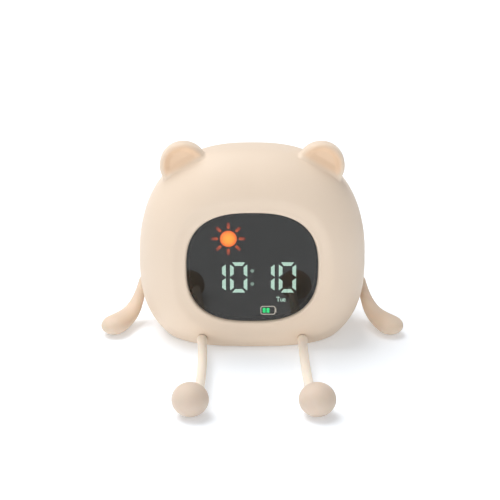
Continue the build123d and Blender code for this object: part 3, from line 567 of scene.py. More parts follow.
def ear_fillet(house, tree, side, ear):
    """Soft fillet round the foot of an ear, its edges sunk a little into the ear and the housing."""
    ear_tree = BVHTree.FromPolygons([Vector(place) for place in ear[0]], ear[1])
    foot, outwards = ear_foot(house, tree, side)
    along = Vector((0, 1, 0)).cross(outwards).normalized()
    beside = outwards.cross(along)
    far = house.ear_radius * 2

    def housing_point(way, reach):
        return surface_hit(tree, foot + way * reach + outwards * far, -outwards)

    def ear_point(way, height):
        return surface_hit(ear_tree, foot + outwards * height + way * far, -way)

    rows = []
    for point in range(FILLET_POINTS):
        turn = 2 * math.pi * point / FILLET_POINTS
        way = along * math.cos(turn) + beside * math.sin(turn)
        height = 0.0
        for step in range(JOINT_STEPS):
            reach = (ear_point(way, height)[0] - foot).dot(way)
            height = (housing_point(way, reach)[0] - foot).dot(outwards)
        spread = house.ear_fillet * (1 + max(-way.y, 0))
        upper = ear_point(way, height + spread)[0]
        higher, higher_normal = ear_point(way, height + spread + SUNK_REACH)
        lower = housing_point(way, reach + spread)[0]
        further, further_normal = housing_point(way, reach + spread + SUNK_REACH)
        down = (upper - higher).normalized()
        away = (further - lower).normalized()
        row = [higher - higher_normal * SUNK_DEPTH]
        row += smooth_bridge(upper, down, lower, away)
        row.append(further - further_normal * SUNK_DEPTH)
        row.append(foot + way * reach / 2 + outwards * (height - house.ear_fillet))
        rows.append([tuple(place) for place in row])
    return closed_band(rows)


def shoulder_place(name):
    """Point and outward direction of an arm's plug, on the axis that the arm turns about."""
    for joint in frame["joints"]:
        if joint["name"] == name + "_arm_swivel":
            axis = Vector(joint["axis"]).normalized()
            return Vector(joint["pos_m"]), axis if axis.x * SIDES[name] > 0 else -axis
    raise RuntimeError("the frame has no swivel for the arm on the " + name)


def hip_place(limbs, tree, side):
    """Point and outward direction where a leg's plug leaves the housing."""
    return surface_hit(tree, (side * limbs.hip_x, -OUTSIDE, limbs.hip_height), (0, 1, 0))


# Finishes

GRAIN_GROUP = "Moulded grain"
GRAIN_DEPTH = 0.0001
GRAIN_INPUTS = {
    "Vector": "NodeSocketVector",
    "Colour": "NodeSocketColor",
    "Mottle": "NodeSocketFloat",
    "Grain Scale": "NodeSocketFloat",
    "Gloss Low": "NodeSocketFloat",
    "Gloss High": "NodeSocketFloat",
}
GRAIN_OUTPUTS = {"Colour": "NodeSocketColor", "Roughness": "NodeSocketFloat", "Height": "NodeSocketFloat"}
SHEEN = {"Sheen Weight": 0.12, "Sheen Roughness": 0.5}
SOFTNESS = {
    "Subsurface Weight": 0.2,
    "Subsurface Radius": (1.0, 0.5, 0.3),
    "Subsurface Scale": 0.0012,
}
# Colour, mottle, size of the grain, lowest and highest gloss, bump and specular level
MOULDED = {
    "light_box_black": ((0.004, 0.004, 0.004), 0.3, 2600, (0.6, 0.75), 0.05, 0.1),
    "unlit_pipe": ((0.006, 0.006, 0.006), 0.3, 2600, (0.5, 0.6), 0.02, 0.1),
    "adhesive_foam": ((0.01, 0.01, 0.01), 0.3, 1800, (0.8, 0.95), 0.2, 0.2),
    "button_rubber": ((0.70, 0.56, 0.43), 0.08, 2600, (0.5, 0.65), 0.1, 0.35),
    "sign_ink": ((0.16, 0.12, 0.09), 0.2, 3000, (0.6, 0.7), 0.05, 0.3),
    "pad_rubber": ((0.50, 0.42, 0.35), 0.12, 1500, (0.75, 0.9), 0.3, 0.25),
    "moulded_black": ((0.015, 0.015, 0.015), 0.3, 2000, (0.45, 0.6), 0.1, 0.4),
    "moulded_white": ((0.78, 0.77, 0.74), 0.05, 2000, (0.4, 0.55), 0.05, 0.4),
    "cell_sleeve": ((0.03, 0.12, 0.36), 0.1, 900, (0.2, 0.3), 0.03, 0.5),
    "wire_cover": ((0.36, 0.02, 0.02), 0.1, 2000, (0.35, 0.5), 0.03, 0.5),
    "cone_paper": ((0.03, 0.03, 0.03), 0.4, 700, (0.8, 0.95), 0.3, 0.2),
}
# The same without the colour, which a user can change
HOUSING_GRAIN = (0.04, 2600, (0.48, 0.58), 0.06, 0.45)
SILICONE_GRAIN = (0.05, 3200, (0.52, 0.64), 0.05, 0.4)
WHITE = (1, 1, 1, 1)
UNLIT_PIPE = (0.02, 0.02, 0.02, 1)
DIM_SHARE = 0.86
DIM_STOP = 0.3
BRIGHT_STOP = 0.7
CORE_STOP = 0.55
CORE_BLEND = 0.35
HALO_WIDTH = 0.1
HALO_BLEND = 0.5
LENS_LEAN = (0.04, 0, -0.027)


def fill_inputs(tree, node, values):
    """Give inputs of a node their values, or link them to outputs of other nodes."""
    for name, value in values.items():
        if isinstance(value, bpy.types.NodeSocket):
            tree.links.new(value, node.inputs[name])
        else:
            node.inputs[name].default_value = value


def add_node(tree, kind, values, **settings):
    """New node with its settings and its inputs."""
    node = tree.nodes.new(kind)
    for name, value in settings.items():
        setattr(node, name, value)
    fill_inputs(tree, node, values)
    return node


def set_surface(finish, values):
    """Give the surface of a material its values and links."""
    fill_inputs(finish.node_tree, finish.node_tree.nodes["Principled BSDF"], values)


def new_material(name):
    """Material with a plain surface, its node tree and its Object coordinates."""
    finish = bpy.data.materials.new(name)
    finish.use_nodes = True
    tree = finish.node_tree
    return finish, tree, tree.nodes.new("ShaderNodeTexCoord").outputs["Object"]


def colour_ramp(tree, share, stops):
    """Output of a ramp that turns a share into colours, from stops of position and colour."""
    ramp = add_node(tree, "ShaderNodeValToRGB", {"Fac": share})
    elements = ramp.color_ramp.elements
    for index, (position, tint) in enumerate(stops):
        stop = elements[index] if index < len(elements) else elements.new(position)
        stop.position = position
        stop.color = (*tint, 1)
    return ramp.outputs["Color"]


def moulded_grain_group():
    """Group for moulded surfaces: faint mottling, fine grain and uneven gloss."""
    tree = bpy.data.node_groups.new(GRAIN_GROUP, "ShaderNodeTree")
    for end, sockets in (("INPUT", GRAIN_INPUTS), ("OUTPUT", GRAIN_OUTPUTS)):
        for title, kind in sockets.items():
            tree.interface.new_socket(name=title, in_out=end, socket_type=kind)
    given = tree.nodes.new("NodeGroupInput").outputs
    cloud = add_node(tree, "ShaderNodeTexNoise", {"Vector": given["Vector"], "Scale": 45, "Detail": 4})
    fine = {"Vector": given["Vector"], "Scale": given["Grain Scale"], "Detail": 2}
    grain = add_node(tree, "ShaderNodeTexNoise", fine)
    cloudy = {"Value": cloud.outputs["Fac"], "From Min": 0.3, "From Max": 0.7}
    darker = add_node(tree, "ShaderNodeMapRange", cloudy)
    factors = {0: darker.outputs["Result"], 1: given["Mottle"]}
    scaled = add_node(tree, "ShaderNodeMath", factors, operation="MULTIPLY")
    shades = {"Factor": scaled.outputs["Value"], "A": given["Colour"], "B": given["Colour"]}
    mottled = add_node(tree, "ShaderNodeMix", shades, data_type="RGBA", blend_type="MULTIPLY")
    limits = {"To Min": given["Gloss Low"], "To Max": given["Gloss High"]}
    gloss = add_node(tree, "ShaderNodeMapRange", {**cloudy, **limits})
    results = {
        "Colour": mottled.outputs["Result"],
        "Roughness": gloss.outputs["Result"],
        "Height": grain.outputs["Fac"],
    }
    add_node(tree, "NodeGroupOutput", results)
    return tree


def grained_material(name, tint, mottle, scale, gloss, bump, specular):
    """Moulded plastic or rubber with its own grain, gloss and bump."""
    finish, tree, where = new_material(name)
    group = bpy.data.node_groups.get(GRAIN_GROUP) or moulded_grain_group()
    values = {
        "Vector": where,
        "Colour": (*tint, 1),
        "Mottle": mottle,
        "Grain Scale": scale,
        "Gloss Low": gloss[0],
        "Gloss High": gloss[1],
    }
    grain = add_node(tree, "ShaderNodeGroup", values, node_tree=group, name=GRAIN_GROUP)
    relief = {"Strength": bump, "Distance": GRAIN_DEPTH, "Height": grain.outputs["Height"]}
    raised = add_node(tree, "ShaderNodeBump", relief)
    surface = {
        "Base Color": grain.outputs["Colour"],
        "Roughness": grain.outputs["Roughness"],
        "Normal": raised.outputs["Normal"],
        "Specular IOR Level": specular,
    }
    set_surface(finish, surface)
    return finish


def moulded(name):
    """One of the plain moulded finishes."""
    return grained_material(name, *MOULDED[name])


def housing_material():
    """Soft-touch paint of the housing, with painted shade, darker and warmer, in the ears' dishes."""
    known = bpy.data.materials.get("soft_touch_housing")
    if known:
        return known
    house = bpy.context.scene.clock_housing
    finish = grained_material("soft_touch_housing", house.tint, *HOUSING_GRAIN)
    tree = finish.node_tree
    # Painted shade in the ears' dishes, read from a point attribute
    dish = add_node(tree, "ShaderNodeAttribute", {}, attribute_name="dish_shade")
    tints = {"Factor": dish.outputs["Fac"], "A": (*house.tint, 1), "B": (*house.dish_shade, 1)}
    dish_shaded = add_node(tree, "ShaderNodeMix", tints, data_type="RGBA")
    fill_inputs(tree, tree.nodes[GRAIN_GROUP], {"Colour": dish_shaded.outputs["Result"]})
    set_surface(finish, SHEEN)
    return finish


def silicone_material(part):
    """Matte silicone of the arms, legs or feet, which lets a little warm light through; the tint of each
    part carries painted light and shade.
    """
    name = part + "_silicone"
    known = bpy.data.materials.get(name)
    if known:
        return known
    # This part's tint, with its painted light and shade in it
    tint = getattr(bpy.context.scene.clock_limbs, part + "_tint")
    finish = grained_material(name, tint, *SILICONE_GRAIN)
    set_surface(finish, {**SHEEN, **SOFTNESS})
    return finish


def glow_material(name, tint, strength):
    """Lit light pipe whose glow is a little uneven, as it is over its emitter."""
    finish, tree, where = new_material(name)
    spread = add_node(tree, "ShaderNodeTexNoise", {"Vector": where, "Scale": 900})
    dimmer = [channel * DIM_SHARE for channel in tint]
    glow = colour_ramp(tree, spread.outputs["Fac"], ((DIM_STOP, dimmer), (BRIGHT_STOP, tint)))
    light = {"Emission Color": glow, "Emission Strength": strength}
    set_surface(finish, {"Base Color": UNLIT_PIPE, "Roughness": 0.4, **light})
    return finish


def sun_material(middle, tilt, disc, reach, look, strength):
    """Glow of the day sign: bright core, orange edge, dim rays that fade outwards."""
    finish, tree, where = new_material("sun_glow")
    seat = {"Vector": where, "Location": middle, "Rotation": (-tilt, 0, 0)}
    centred = add_node(tree, "ShaderNodeMapping", seat, vector_type="TEXTURE")
    upright = {0: centred.outputs["Vector"], 1: (1, 0, 1)}
    flat = add_node(tree, "ShaderNodeVectorMath", upright, operation="MULTIPLY")
    far = add_node(tree, "ShaderNodeVectorMath", {0: flat.outputs["Vector"]}, operation="LENGTH")
    share = add_node(tree, "ShaderNodeMapRange", {"Value": far.outputs["Value"], "From Max": reach})
    rim = disc / reach
    core = np.array(look.sun_core)
    edge = np.array(look.sun_edge)
    stops = (
        (0.0, core),
        (rim * CORE_STOP, blend(core, edge, CORE_BLEND)),
        (rim, edge),
        (rim + HALO_WIDTH, blend(np.array(look.ray), edge, HALO_BLEND)),
        (1.0, look.ray),
    )
    glow = colour_ramp(tree, share.outputs["Result"], stops)
    light = {"Emission Color": glow, "Emission Strength": strength}
    set_surface(finish, {"Base Color": UNLIT_PIPE, **light})
    return finish


def glass_material(tint):
    """Dark tinted acrylic, seated with a slight lean, with a faint unevenness in its polish."""
    finish, tree, where = new_material("tinted_acrylic")
    polish = add_node(tree, "ShaderNodeTexNoise", {"Vector": where, "Scale": 60})
    limits = {"Value": polish.outputs["Fac"], "To Min": 0.015, "To Max": 0.035}
    spread = add_node(tree, "ShaderNodeMapRange", limits)
    shape = tree.nodes.new("ShaderNodeNewGeometry")
    seated = add_node(tree, "ShaderNodeVectorMath", {0: shape.outputs["Normal"], 1: LENS_LEAN})
    even = add_node(tree, "ShaderNodeVectorMath", {0: seated.outputs["Vector"]}, operation="NORMALIZE")
    surface = {
        "Base Color": (*tint, 1),
        "Transmission Weight": 1,
        "IOR": 1.57,
        "Specular Tint": (1.0, 0.98, 0.94, 1),
        "Normal": even.outputs["Vector"],
        "Roughness": spread.outputs["Result"],
    }
    set_surface(finish, surface)
    return finish


def steel_material():
    """Plain zinc-plated steel with fine brushed streaks."""
    finish, tree, where = new_material("zinc_steel")
    stretched = add_node(tree, "ShaderNodeMapping", {"Vector": where, "Scale": (400, 400, 6000)})
    streak = add_node(tree, "ShaderNodeTexNoise", {"Vector": stretched.outputs["Vector"], "Scale": 1})
    limits = {"Value": streak.outputs["Fac"], "To Min": 0.25, "To Max": 0.4}
    spread = add_node(tree, "ShaderNodeMapRange", limits)
    surface = {"Base Color": (0.62, 0.61, 0.58, 1), "Metallic": 1, "Roughness": spread.outputs["Result"]}
    set_surface(finish, surface)
    return finish


def board_material():
    """Green solder mask with paler copper tracks under it."""
    finish, tree, where = new_material("circuit_board")
    turned = {"Vector": where, "Rotation": (math.radians(90), 0, 0)}
    upright = add_node(tree, "ShaderNodeMapping", turned)
    pattern = {
        "Vector": upright.outputs["Vector"],
        "Scale": 300,
        "Color1": (0.010, 0.090, 0.040, 1),
        "Color2": (0.014, 0.110, 0.050, 1),
        "Mortar": (0.030, 0.190, 0.085, 1),
        "Mortar Size": 0.03,
    }
    tracks = add_node(tree, "ShaderNodeTexBrick", pattern)
    set_surface(finish, {"Base Color": tracks.outputs["Color"], "Roughness": 0.35})
    return finish


def dress_node(node, finish):
    """Give a CAD node its finish."""
    for slot in frame["nodes"][node].material_slots:
        slot.material = finish


# Pieces


def button_middles():
    """Middle of each button on the back, by name."""
    first = (1 - len(BUTTONS)) / 2
    middles = {}
    for index, name in enumerate(BUTTONS):
        middles[name] = Vector(((first + index) * BUTTON_PITCH, 0, BUTTON_HEIGHT))
    return middles


class ClockFrontCover(Operator):
    """Front shell: domed housing, rolled lip, lens recess and both ears"""

    bl_idname = "clock.front_cover"
    bl_label = "Front cover"

    inner_start = math.radians(36)
    inner_rings = 10
    inner_side_rings = 7
    seat_clearance = 0.0004
    seat_reach = 0.004
    hole_clearance = 0.0001
    dimple_clearance = 0.00025

    def execute(self, context):
        house = context.scene.clock_housing
        lens = context.scene.clock_lens
        limbs = context.scene.clock_limbs
        floor = house.ground_gap + house.base_wall
        rings = dome_rings(house, lens)
        rings.append(lens_ring(house, lens, lens.ledge_front, lens.gap))
        rings.append(lens_ring(house, lens, lens.ledge_front, -lens.ledge))
        rings.append(lens_ring(house, lens, lens.ledge_back, -lens.ledge))
        for turn in np.linspace(self.inner_start, math.pi / 2, self.inner_rings):
            rings.append(front_ring(house, lens, turn, house.wall, floor))
        for depth in np.linspace(0, house.seam, self.inner_side_rings)[1:]:
            rings.append(back_ring(house, depth, house.wall, floor))
        tree = dome_tree(house, lens)
        cover = joined_mesh("front_band", [closed_band(rings)])
        cover = cut_mesh(cover, self.plug_cutters(house, limbs, tree))
        cover = cut_mesh(cover, self.dimple_cutters(limbs, tree))
        ears = []
        # Share of the painted shade in the ears' dishes at each point, none on the shell itself
        dish_shade = [0.0] * len(cover.vertices)
        for side in SIDES.values():
            ear = ear_shell(house, tree, side)
            ground = ear_foot(house, tree, side)
            for shell in (ear, ear_fillet(house, tree, side, ear)):
                ears.append(shell)
                dish_shade += [dish_shares(house, place, *ground)[1] for place in shell[0]]
        cover = merged_mesh("front_cover", cover, joined_mesh("ears", ears))
        cover.attributes.new("dish_shade", "FLOAT", "POINT").data.foreach_set("value", dish_shade)
        place_piece("front_cover", cover, housing_material(), "housing", ["front_shell"])
        return {"FINISHED"}

    def plug_cutters(self, house, limbs, tree):
        """Holes for the plugs of the arms and legs, with the seats of their heads."""
        cutters = []
        for name, side in SIDES.items():
            shoulder = (*shoulder_place(name), limbs.plug_radius, limbs.plug_head_radius)
            hip = (*hip_place(limbs, tree, side), limbs.leg_plug_radius, limbs.leg_plug_head_radius)
            for point, normal, radius, head in (shoulder, hip):
                profile = (
                    (head + self.seat_clearance, -house.wall - self.seat_reach),
                    (head + self.seat_clearance, -house.wall),
                    (radius + self.hole_clearance, -house.wall),
                    (radius + self.hole_clearance, house.wall),
                )
                cutters.append(lathe(profile, point, normal, RING_POINTS))
        return joined_mesh("plug_cutters", cutters)

    def dimple_cutters(self, limbs, tree):
        """Round dimples that the legs' roots sit in."""
        cutters = []
        radius = limbs.root_radius + self.dimple_clearance
        profile = ball_profile(radius, radius, limbs.hip_stand, RING_POINTS)
        for side in SIDES.values():
            point, normal = hip_place(limbs, tree, side)
            cutters.append(lathe(profile, point, normal, 2 * RING_POINTS))
        return joined_mesh("dimple_cutters", cutters)


class ClockRearCover(Operator):
    """Rear shell with its grille, button holes, screw wells and charging opening"""

    bl_idname = "clock.rear_cover"
    bl_label = "Rear cover"

    side_rings = 16
    round_steps = 8
    round_pull = 1.2
    face_shares = (0.92, 0.75, 0.5, 0.25, 0.06)
    inner_rings = 9
    inner_shares = (0.06, 0.5)
    post_places = ((0.042, 0.025), (-0.042, 0.025), (0.037, 0.075), (-0.037, 0.075))
    well_radius = 0.003
    post_radius = 0.0038
    post_front = 0.0131
    seat_depth = 0.0161
    button_hole = 0.0047
    socket_height = 0.0185
    socket_half = (0.0052, 0.00235)
    socket_points = 48
    grille_height = 0.057
    grille_pitch = 0.0038
    grille_hole = 0.0009
    grille_rings = (1, 2)
    grille_first_ring = 6
    grille_pin_sides = 20
    edge_break = 0.00025

    def execute(self, context):
        house = context.scene.clock_housing
        floor = house.ground_gap
        groove = house.seam_groove
        edge = house.back_flat - house.back_round
        rings = [back_ring(house, house.seam, groove, floor)]
        for depth in np.linspace(house.seam + groove, edge, self.side_rings):
            rings.append(back_ring(house, depth, 0, floor))
        last = rings[-1]
        inwards = np.array([0, 0, house.widest]) - last * np.array([1, 0, 1])
        inwards /= np.linalg.norm(inwards, axis=1)[:, None]
        for turn in np.linspace(0, math.pi / 2, self.round_steps + 1)[1:]:
            ring = last + inwards * house.back_round * self.round_pull * (1 - math.cos(turn))
            ring[:, 1] = edge + house.back_round * math.sin(turn)
            rings.append(ring)
        rim = rings[-1]
        rings += [self.drawn_in(house, rim, share, house.back_flat) for share in self.face_shares]
        inner_face = house.back_flat - house.wall
        inside = []
        for depth in np.linspace(inner_face, house.seam, self.inner_rings):
            inside.append(back_ring(house, depth, house.wall, floor + house.base_wall))
        middle = [self.drawn_in(house, inside[0], share, inner_face) for share in self.inner_shares]
        shell = joined_mesh("rear_bowl", [capped_tube((middle + inside + rings)[::-1])])
        cover = cut_mesh(shell, joined_mesh("rear_openings", self.openings(house)))
        posts = [self.post(x, z, house) for x, z in self.post_places]
        cover = merged_mesh("rear_cover", cover, joined_mesh("rear_posts", posts))
        place_piece("rear_cover", cover, housing_material(), "housing", ["rear_shell"])
        return {"FINISHED"}

    def drawn_in(self, house, ring, share, depth):
        """Ring drawn in to a share of its size about the middle of the back, at a depth."""
        middle = np.array([0, 0, house.widest])
        smaller = middle + (ring - middle) * share
        smaller[:, 1] = depth
        return smaller

    def flare(self, house):
        """Depths along a cutter through the back, and its growth where it leaves the surface."""
        return (
            (house.back_flat - 2 * house.wall, 0),
            (house.back_flat - self.edge_break, 0),
            (house.back_flat, self.edge_break),
            (house.back_flat + self.edge_break, 2 * self.edge_break),
        )

    def hole(self, x, z, radius, house):
        """Round cutter through the back."""
        profile = [(radius + growth, depth) for depth, growth in self.flare(house)]
        return lathe(profile, (x, 0, z), (0, 1, 0), RING_POINTS)

    def openings(self, house):
        """Cutters of every opening in the back."""
        cutters = [self.hole(x, z, self.well_radius, house) for x, z in self.post_places]
        for middle in button_middles().values():
            cutters.append(self.hole(middle.x, middle.z, self.button_hole, house))
        cutters.append(self.socket_cutter(house))
        pins = grille_pins(self, house)
        pin_faces = [tuple(polygon.vertices) for polygon in pins.polygons]
        cutters.append(([tuple(vertex.co) for vertex in pins.vertices], pin_faces))
        return cutters

    def socket_cutter(self, house):
        """Cutter of the charging opening."""
        half_width, half_height = self.socket_half
        rings = []
        for depth, growth in self.flare(house):
            loop = rounded_loop(half_width, half_height, half_height, growth, self.socket_points)
            rings.append([(x, depth, self.socket_height + z) for x, z in loop])
        return capped_tube(rings)

    def post(self, x, z, house):
        """Hollow post that a case screw goes through, with its deep well."""
        back = house.back_flat - house.wall / 2
        profile = (
            (self.post_radius, self.post_front),
            (self.post_radius, back),
            (self.well_radius, back),
            (self.well_radius, self.seat_depth),
            (self.well_radius / 2, self.seat_depth),
            (self.well_radius / 2, self.post_front),
        )
        return closed_band(turned_rings(profile, (x, 0, z), (0, 1, 0), RING_POINTS))


def grille_pins(cover, house):
    """Cutters of the speaker grille: pins on rings round the middle, placed by geometry nodes."""
    tree = bpy.data.node_groups.new("Grille pins", "GeometryNodeTree")
    sizes = {"Pitch": cover.grille_pitch, "Hole Radius": cover.grille_hole, "Depth": 4 * house.wall}
    settings = {}
    for title, value in sizes.items():
        socket = tree.interface.new_socket(name=title, in_out="INPUT", socket_type="NodeSocketFloat")
        settings[socket.identifier] = value
    tree.interface.new_socket(name="Geometry", in_out="OUTPUT", socket_type="NodeSocketGeometry")
    given = tree.nodes.new("NodeGroupInput").outputs
    middle = add_node(tree, "GeometryNodeMeshLine", {"Count": 1})
    places = add_node(tree, "GeometryNodeJoinGeometry", {"Geometry": middle.outputs["Mesh"]})
    for ring in cover.grille_rings:
        reach = add_node(tree, "ShaderNodeMath", {0: given["Pitch"], 1: ring}, operation="MULTIPLY")
        corners = {"Vertices": cover.grille_first_ring * ring, "Radius": reach.outputs["Value"]}
        circle = add_node(tree, "GeometryNodeMeshCircle", corners)
        fill_inputs(tree, places, {"Geometry": circle.outputs["Mesh"]})
    rod = {"Vertices": cover.grille_pin_sides, "Radius": given["Hole Radius"], "Depth": given["Depth"]}
    pin = add_node(tree, "GeometryNodeMeshCylinder", rod)
    spots = {"Points": places.outputs["Geometry"], "Instance": pin.outputs["Mesh"]}
    copies = add_node(tree, "GeometryNodeInstanceOnPoints", spots)
    real = add_node(tree, "GeometryNodeRealizeInstances", {"Geometry": copies.outputs["Instances"]})
    coat = {"Geometry": real.outputs["Geometry"], "Material": housing_material()}
    coated = add_node(tree, "GeometryNodeSetMaterial", coat)
    add_node(tree, "NodeGroupOutput", {"Geometry": coated.outputs["Geometry"]})
    holder = add_object("grille_holder", bpy.data.meshes.new("grille_holder"))
    nodes = holder.modifiers.new("Pins", "NODES")
    nodes.node_group = tree
    for identifier, value in settings.items():
        nodes[identifier] = value
    mesh = applied_mesh(holder)
    turn = Matrix.Rotation(math.radians(90), 4, "X")
    mesh.transform(Matrix.Translation((0, house.back_flat, cover.grille_height)) @ turn)
    return mesh


class ClockDisplayFinish(Operator):
    """Lens, light box and every light pipe behind the lens"""

    bl_idname = "clock.display_finish"
    bl_label = "Display"

    sun_place = (-0.0124, 0.015)
    sun_disc = 0.00435
    sun_reach = 0.00885
    sun_strength = 11.0
    strength = 9.0
    colon_share = 0.4

    def execute(self, context):
        house = context.scene.clock_housing
        lens = context.scene.clock_lens
        look = context.scene.clock_display
        middle = face_place(house, lens, *self.sun_place, lens.frame_front)
        sun_sizes = (self.sun_disc, self.sun_reach)
        colon = self.strength * self.colon_share
        finishes = {
            "screen_lens": glass_material(look.glass),
            "display_frame": moulded("light_box_black"),
            "unlit_marks": moulded("unlit_pipe"),
            "lens_gasket": moulded("adhesive_foam"),
            "lit_segments": glow_material("digit_glow", look.mint, self.strength),
            "colon_dots": glow_material("colon_glow", look.mint, colon),
            "charge_cells": glow_material("charge_glow", look.charge, self.strength),
            "charge_outline": glow_material("outline_glow", look.outline, self.strength),
            "sun_mark": sun_material(middle, lens.tilt, *sun_sizes, look, self.sun_strength),
        }
        for node, finish in finishes.items():
            dress_node(node, finish)
        return {"FINISHED"}


class ClockDayWord(Operator):
    """Short name of the day, a thin light window in the light box's face"""

    bl_idname = "clock.day_word"
    bl_label = "Day word"

    strength = 9.0
    place = (0.0150, -0.0192)
    depth = 0.00008
    sink = 0.00002
    capital_share = 0.72
    narrow = 0.82
    bold = 0.00005

    def execute(self, context):
        house = context.scene.clock_housing
        lens = context.scene.clock_lens
        look = context.scene.clock_display
        words = bpy.data.curves.new("day_word", "FONT")
        words.body = look.day
        words.align_x = "CENTER"
        words.size = look.day_height / self.capital_share
        words.extrude = self.depth / 2
        words.offset = self.bold
        mesh = applied_mesh(add_object("day_word_holder", words))
        middle = face_place(house, lens, *self.place, lens.frame_front - self.depth / 2 + self.sink)
        lean = Matrix.Rotation(math.radians(90) - lens.tilt, 4, "X")
        narrow = Matrix.Diagonal((self.narrow, 1, 1, 1))
        mesh.transform(Matrix.Translation(middle) @ lean @ narrow)
        glow = glow_material("word_glow", look.mint, self.strength)
        place_piece("day_word", mesh, glow, "housing", [])
        return {"FINISHED"}


class ClockArms(Operator):
    """Soft arms with rounded hands, each with the plug that holds it"""

    bl_idname = "clock.arms"
    bl_label = "Arms"

    fall_out = 0.008
    fall_share = 1.09
    turn_out = 0.0145
    hand_full = 0.985
    hand_round = 0.8
    root_share = 0.06
    least_size = 0.02
    plug_inside = 0.0027
    plug_head = 0.0018
    path_steps = 400
    steps = 72

    def execute(self, context):
        limbs = context.scene.clock_limbs
        for name, side in SIDES.items():
            node = name + "_arm"
            point, normal = shoulder_place(name)
            shells = [self.arm(limbs, point, normal, side), self.plug(limbs, point, normal)]
            mesh = joined_mesh(name + "_soft_arm", shells)
            place_piece(name + "_soft_arm", mesh, silicone_material("arm"), node, [node])
        return {"FINISHED"}

    def path(self, limbs, point, normal, side):
        """Points along the arm at even distances, and its level sideways direction."""
        shoulder = point + normal * (limbs.arm_radius + limbs.shoulder_gap)
        tip = Vector((side * limbs.hand_tip_x, limbs.hand_tip_depth, limbs.hand_half_height))
        outwards = Vector((tip.x - shoulder.x, tip.y - shoulder.y, 0)).normalized()
        fall = Vector((0, 0, tip.z - shoulder.z))
        elbow = shoulder + outwards * self.fall_out + fall * self.fall_share
        top = shoulder - (elbow - shoulder).normalized() * limbs.arm_radius
        wrist = shoulder + outwards * self.turn_out + fall
        share = np.linspace(0, 1, self.path_steps)[:, None]
        rest = 1 - share
        places = np.array(top) * rest**3 + np.array(elbow) * 3 * rest**2 * share
        places += np.array(wrist) * 3 * rest * share**2 + np.array(tip) * share**3
        runs = np.concatenate([[0], np.cumsum(np.linalg.norm(np.diff(places, axis=0), axis=1))])
        even = np.linspace(0, 1, self.path_steps) * runs[-1]
        spaced = np.stack([np.interp(even, runs, places[:, axis]) for axis in range(3)], axis=1)
        return spaced, Vector((0, 0, 1)).cross(outwards)

    def arm(self, limbs, point, normal, side):
        """Tapered tube with a round shoulder that swells into the hand."""
        places, level = self.path(limbs, point, normal, side)
        ways = np.gradient(places, axis=0)
        rings = []
        for step in range(self.steps + 1):
            share = (1 - math.cos(math.pi * step / self.steps)) / 2
            index = round(share * (self.path_steps - 1))
            along = Vector(ways[index]).normalized()
            swell = ease(share, 0, self.hand_full)
            shoulder_end = max(1 - share / self.root_share, 0)
            hand_end = max(share - self.hand_round, 0) / (1 - self.hand_round)
            round_off = math.sqrt(max(1 - max(shoulder_end, hand_end) ** 2, self.least_size**2))
            width = blend(limbs.arm_radius, limbs.hand_half_width, swell) * round_off
            tall = blend(limbs.arm_radius, limbs.hand_half_height, swell) * round_off
            middle = Vector(places[index])
            rings.append(oval_ring(middle, level, along.cross(level), width, tall, RING_POINTS))
        return capped_tube(rings)

    def plug(self, limbs, point, normal):
        """Round plug with the head that keeps the arm in the housing."""
        inside = -self.plug_inside
        profile = (
            (limbs.plug_head_radius, inside - self.plug_head),
            (limbs.plug_head_radius, inside),
            (limbs.plug_radius, inside),
            (limbs.plug_radius, limbs.shoulder_gap + limbs.arm_radius),
        )
        return lathe(profile, point, normal, RING_POINTS)


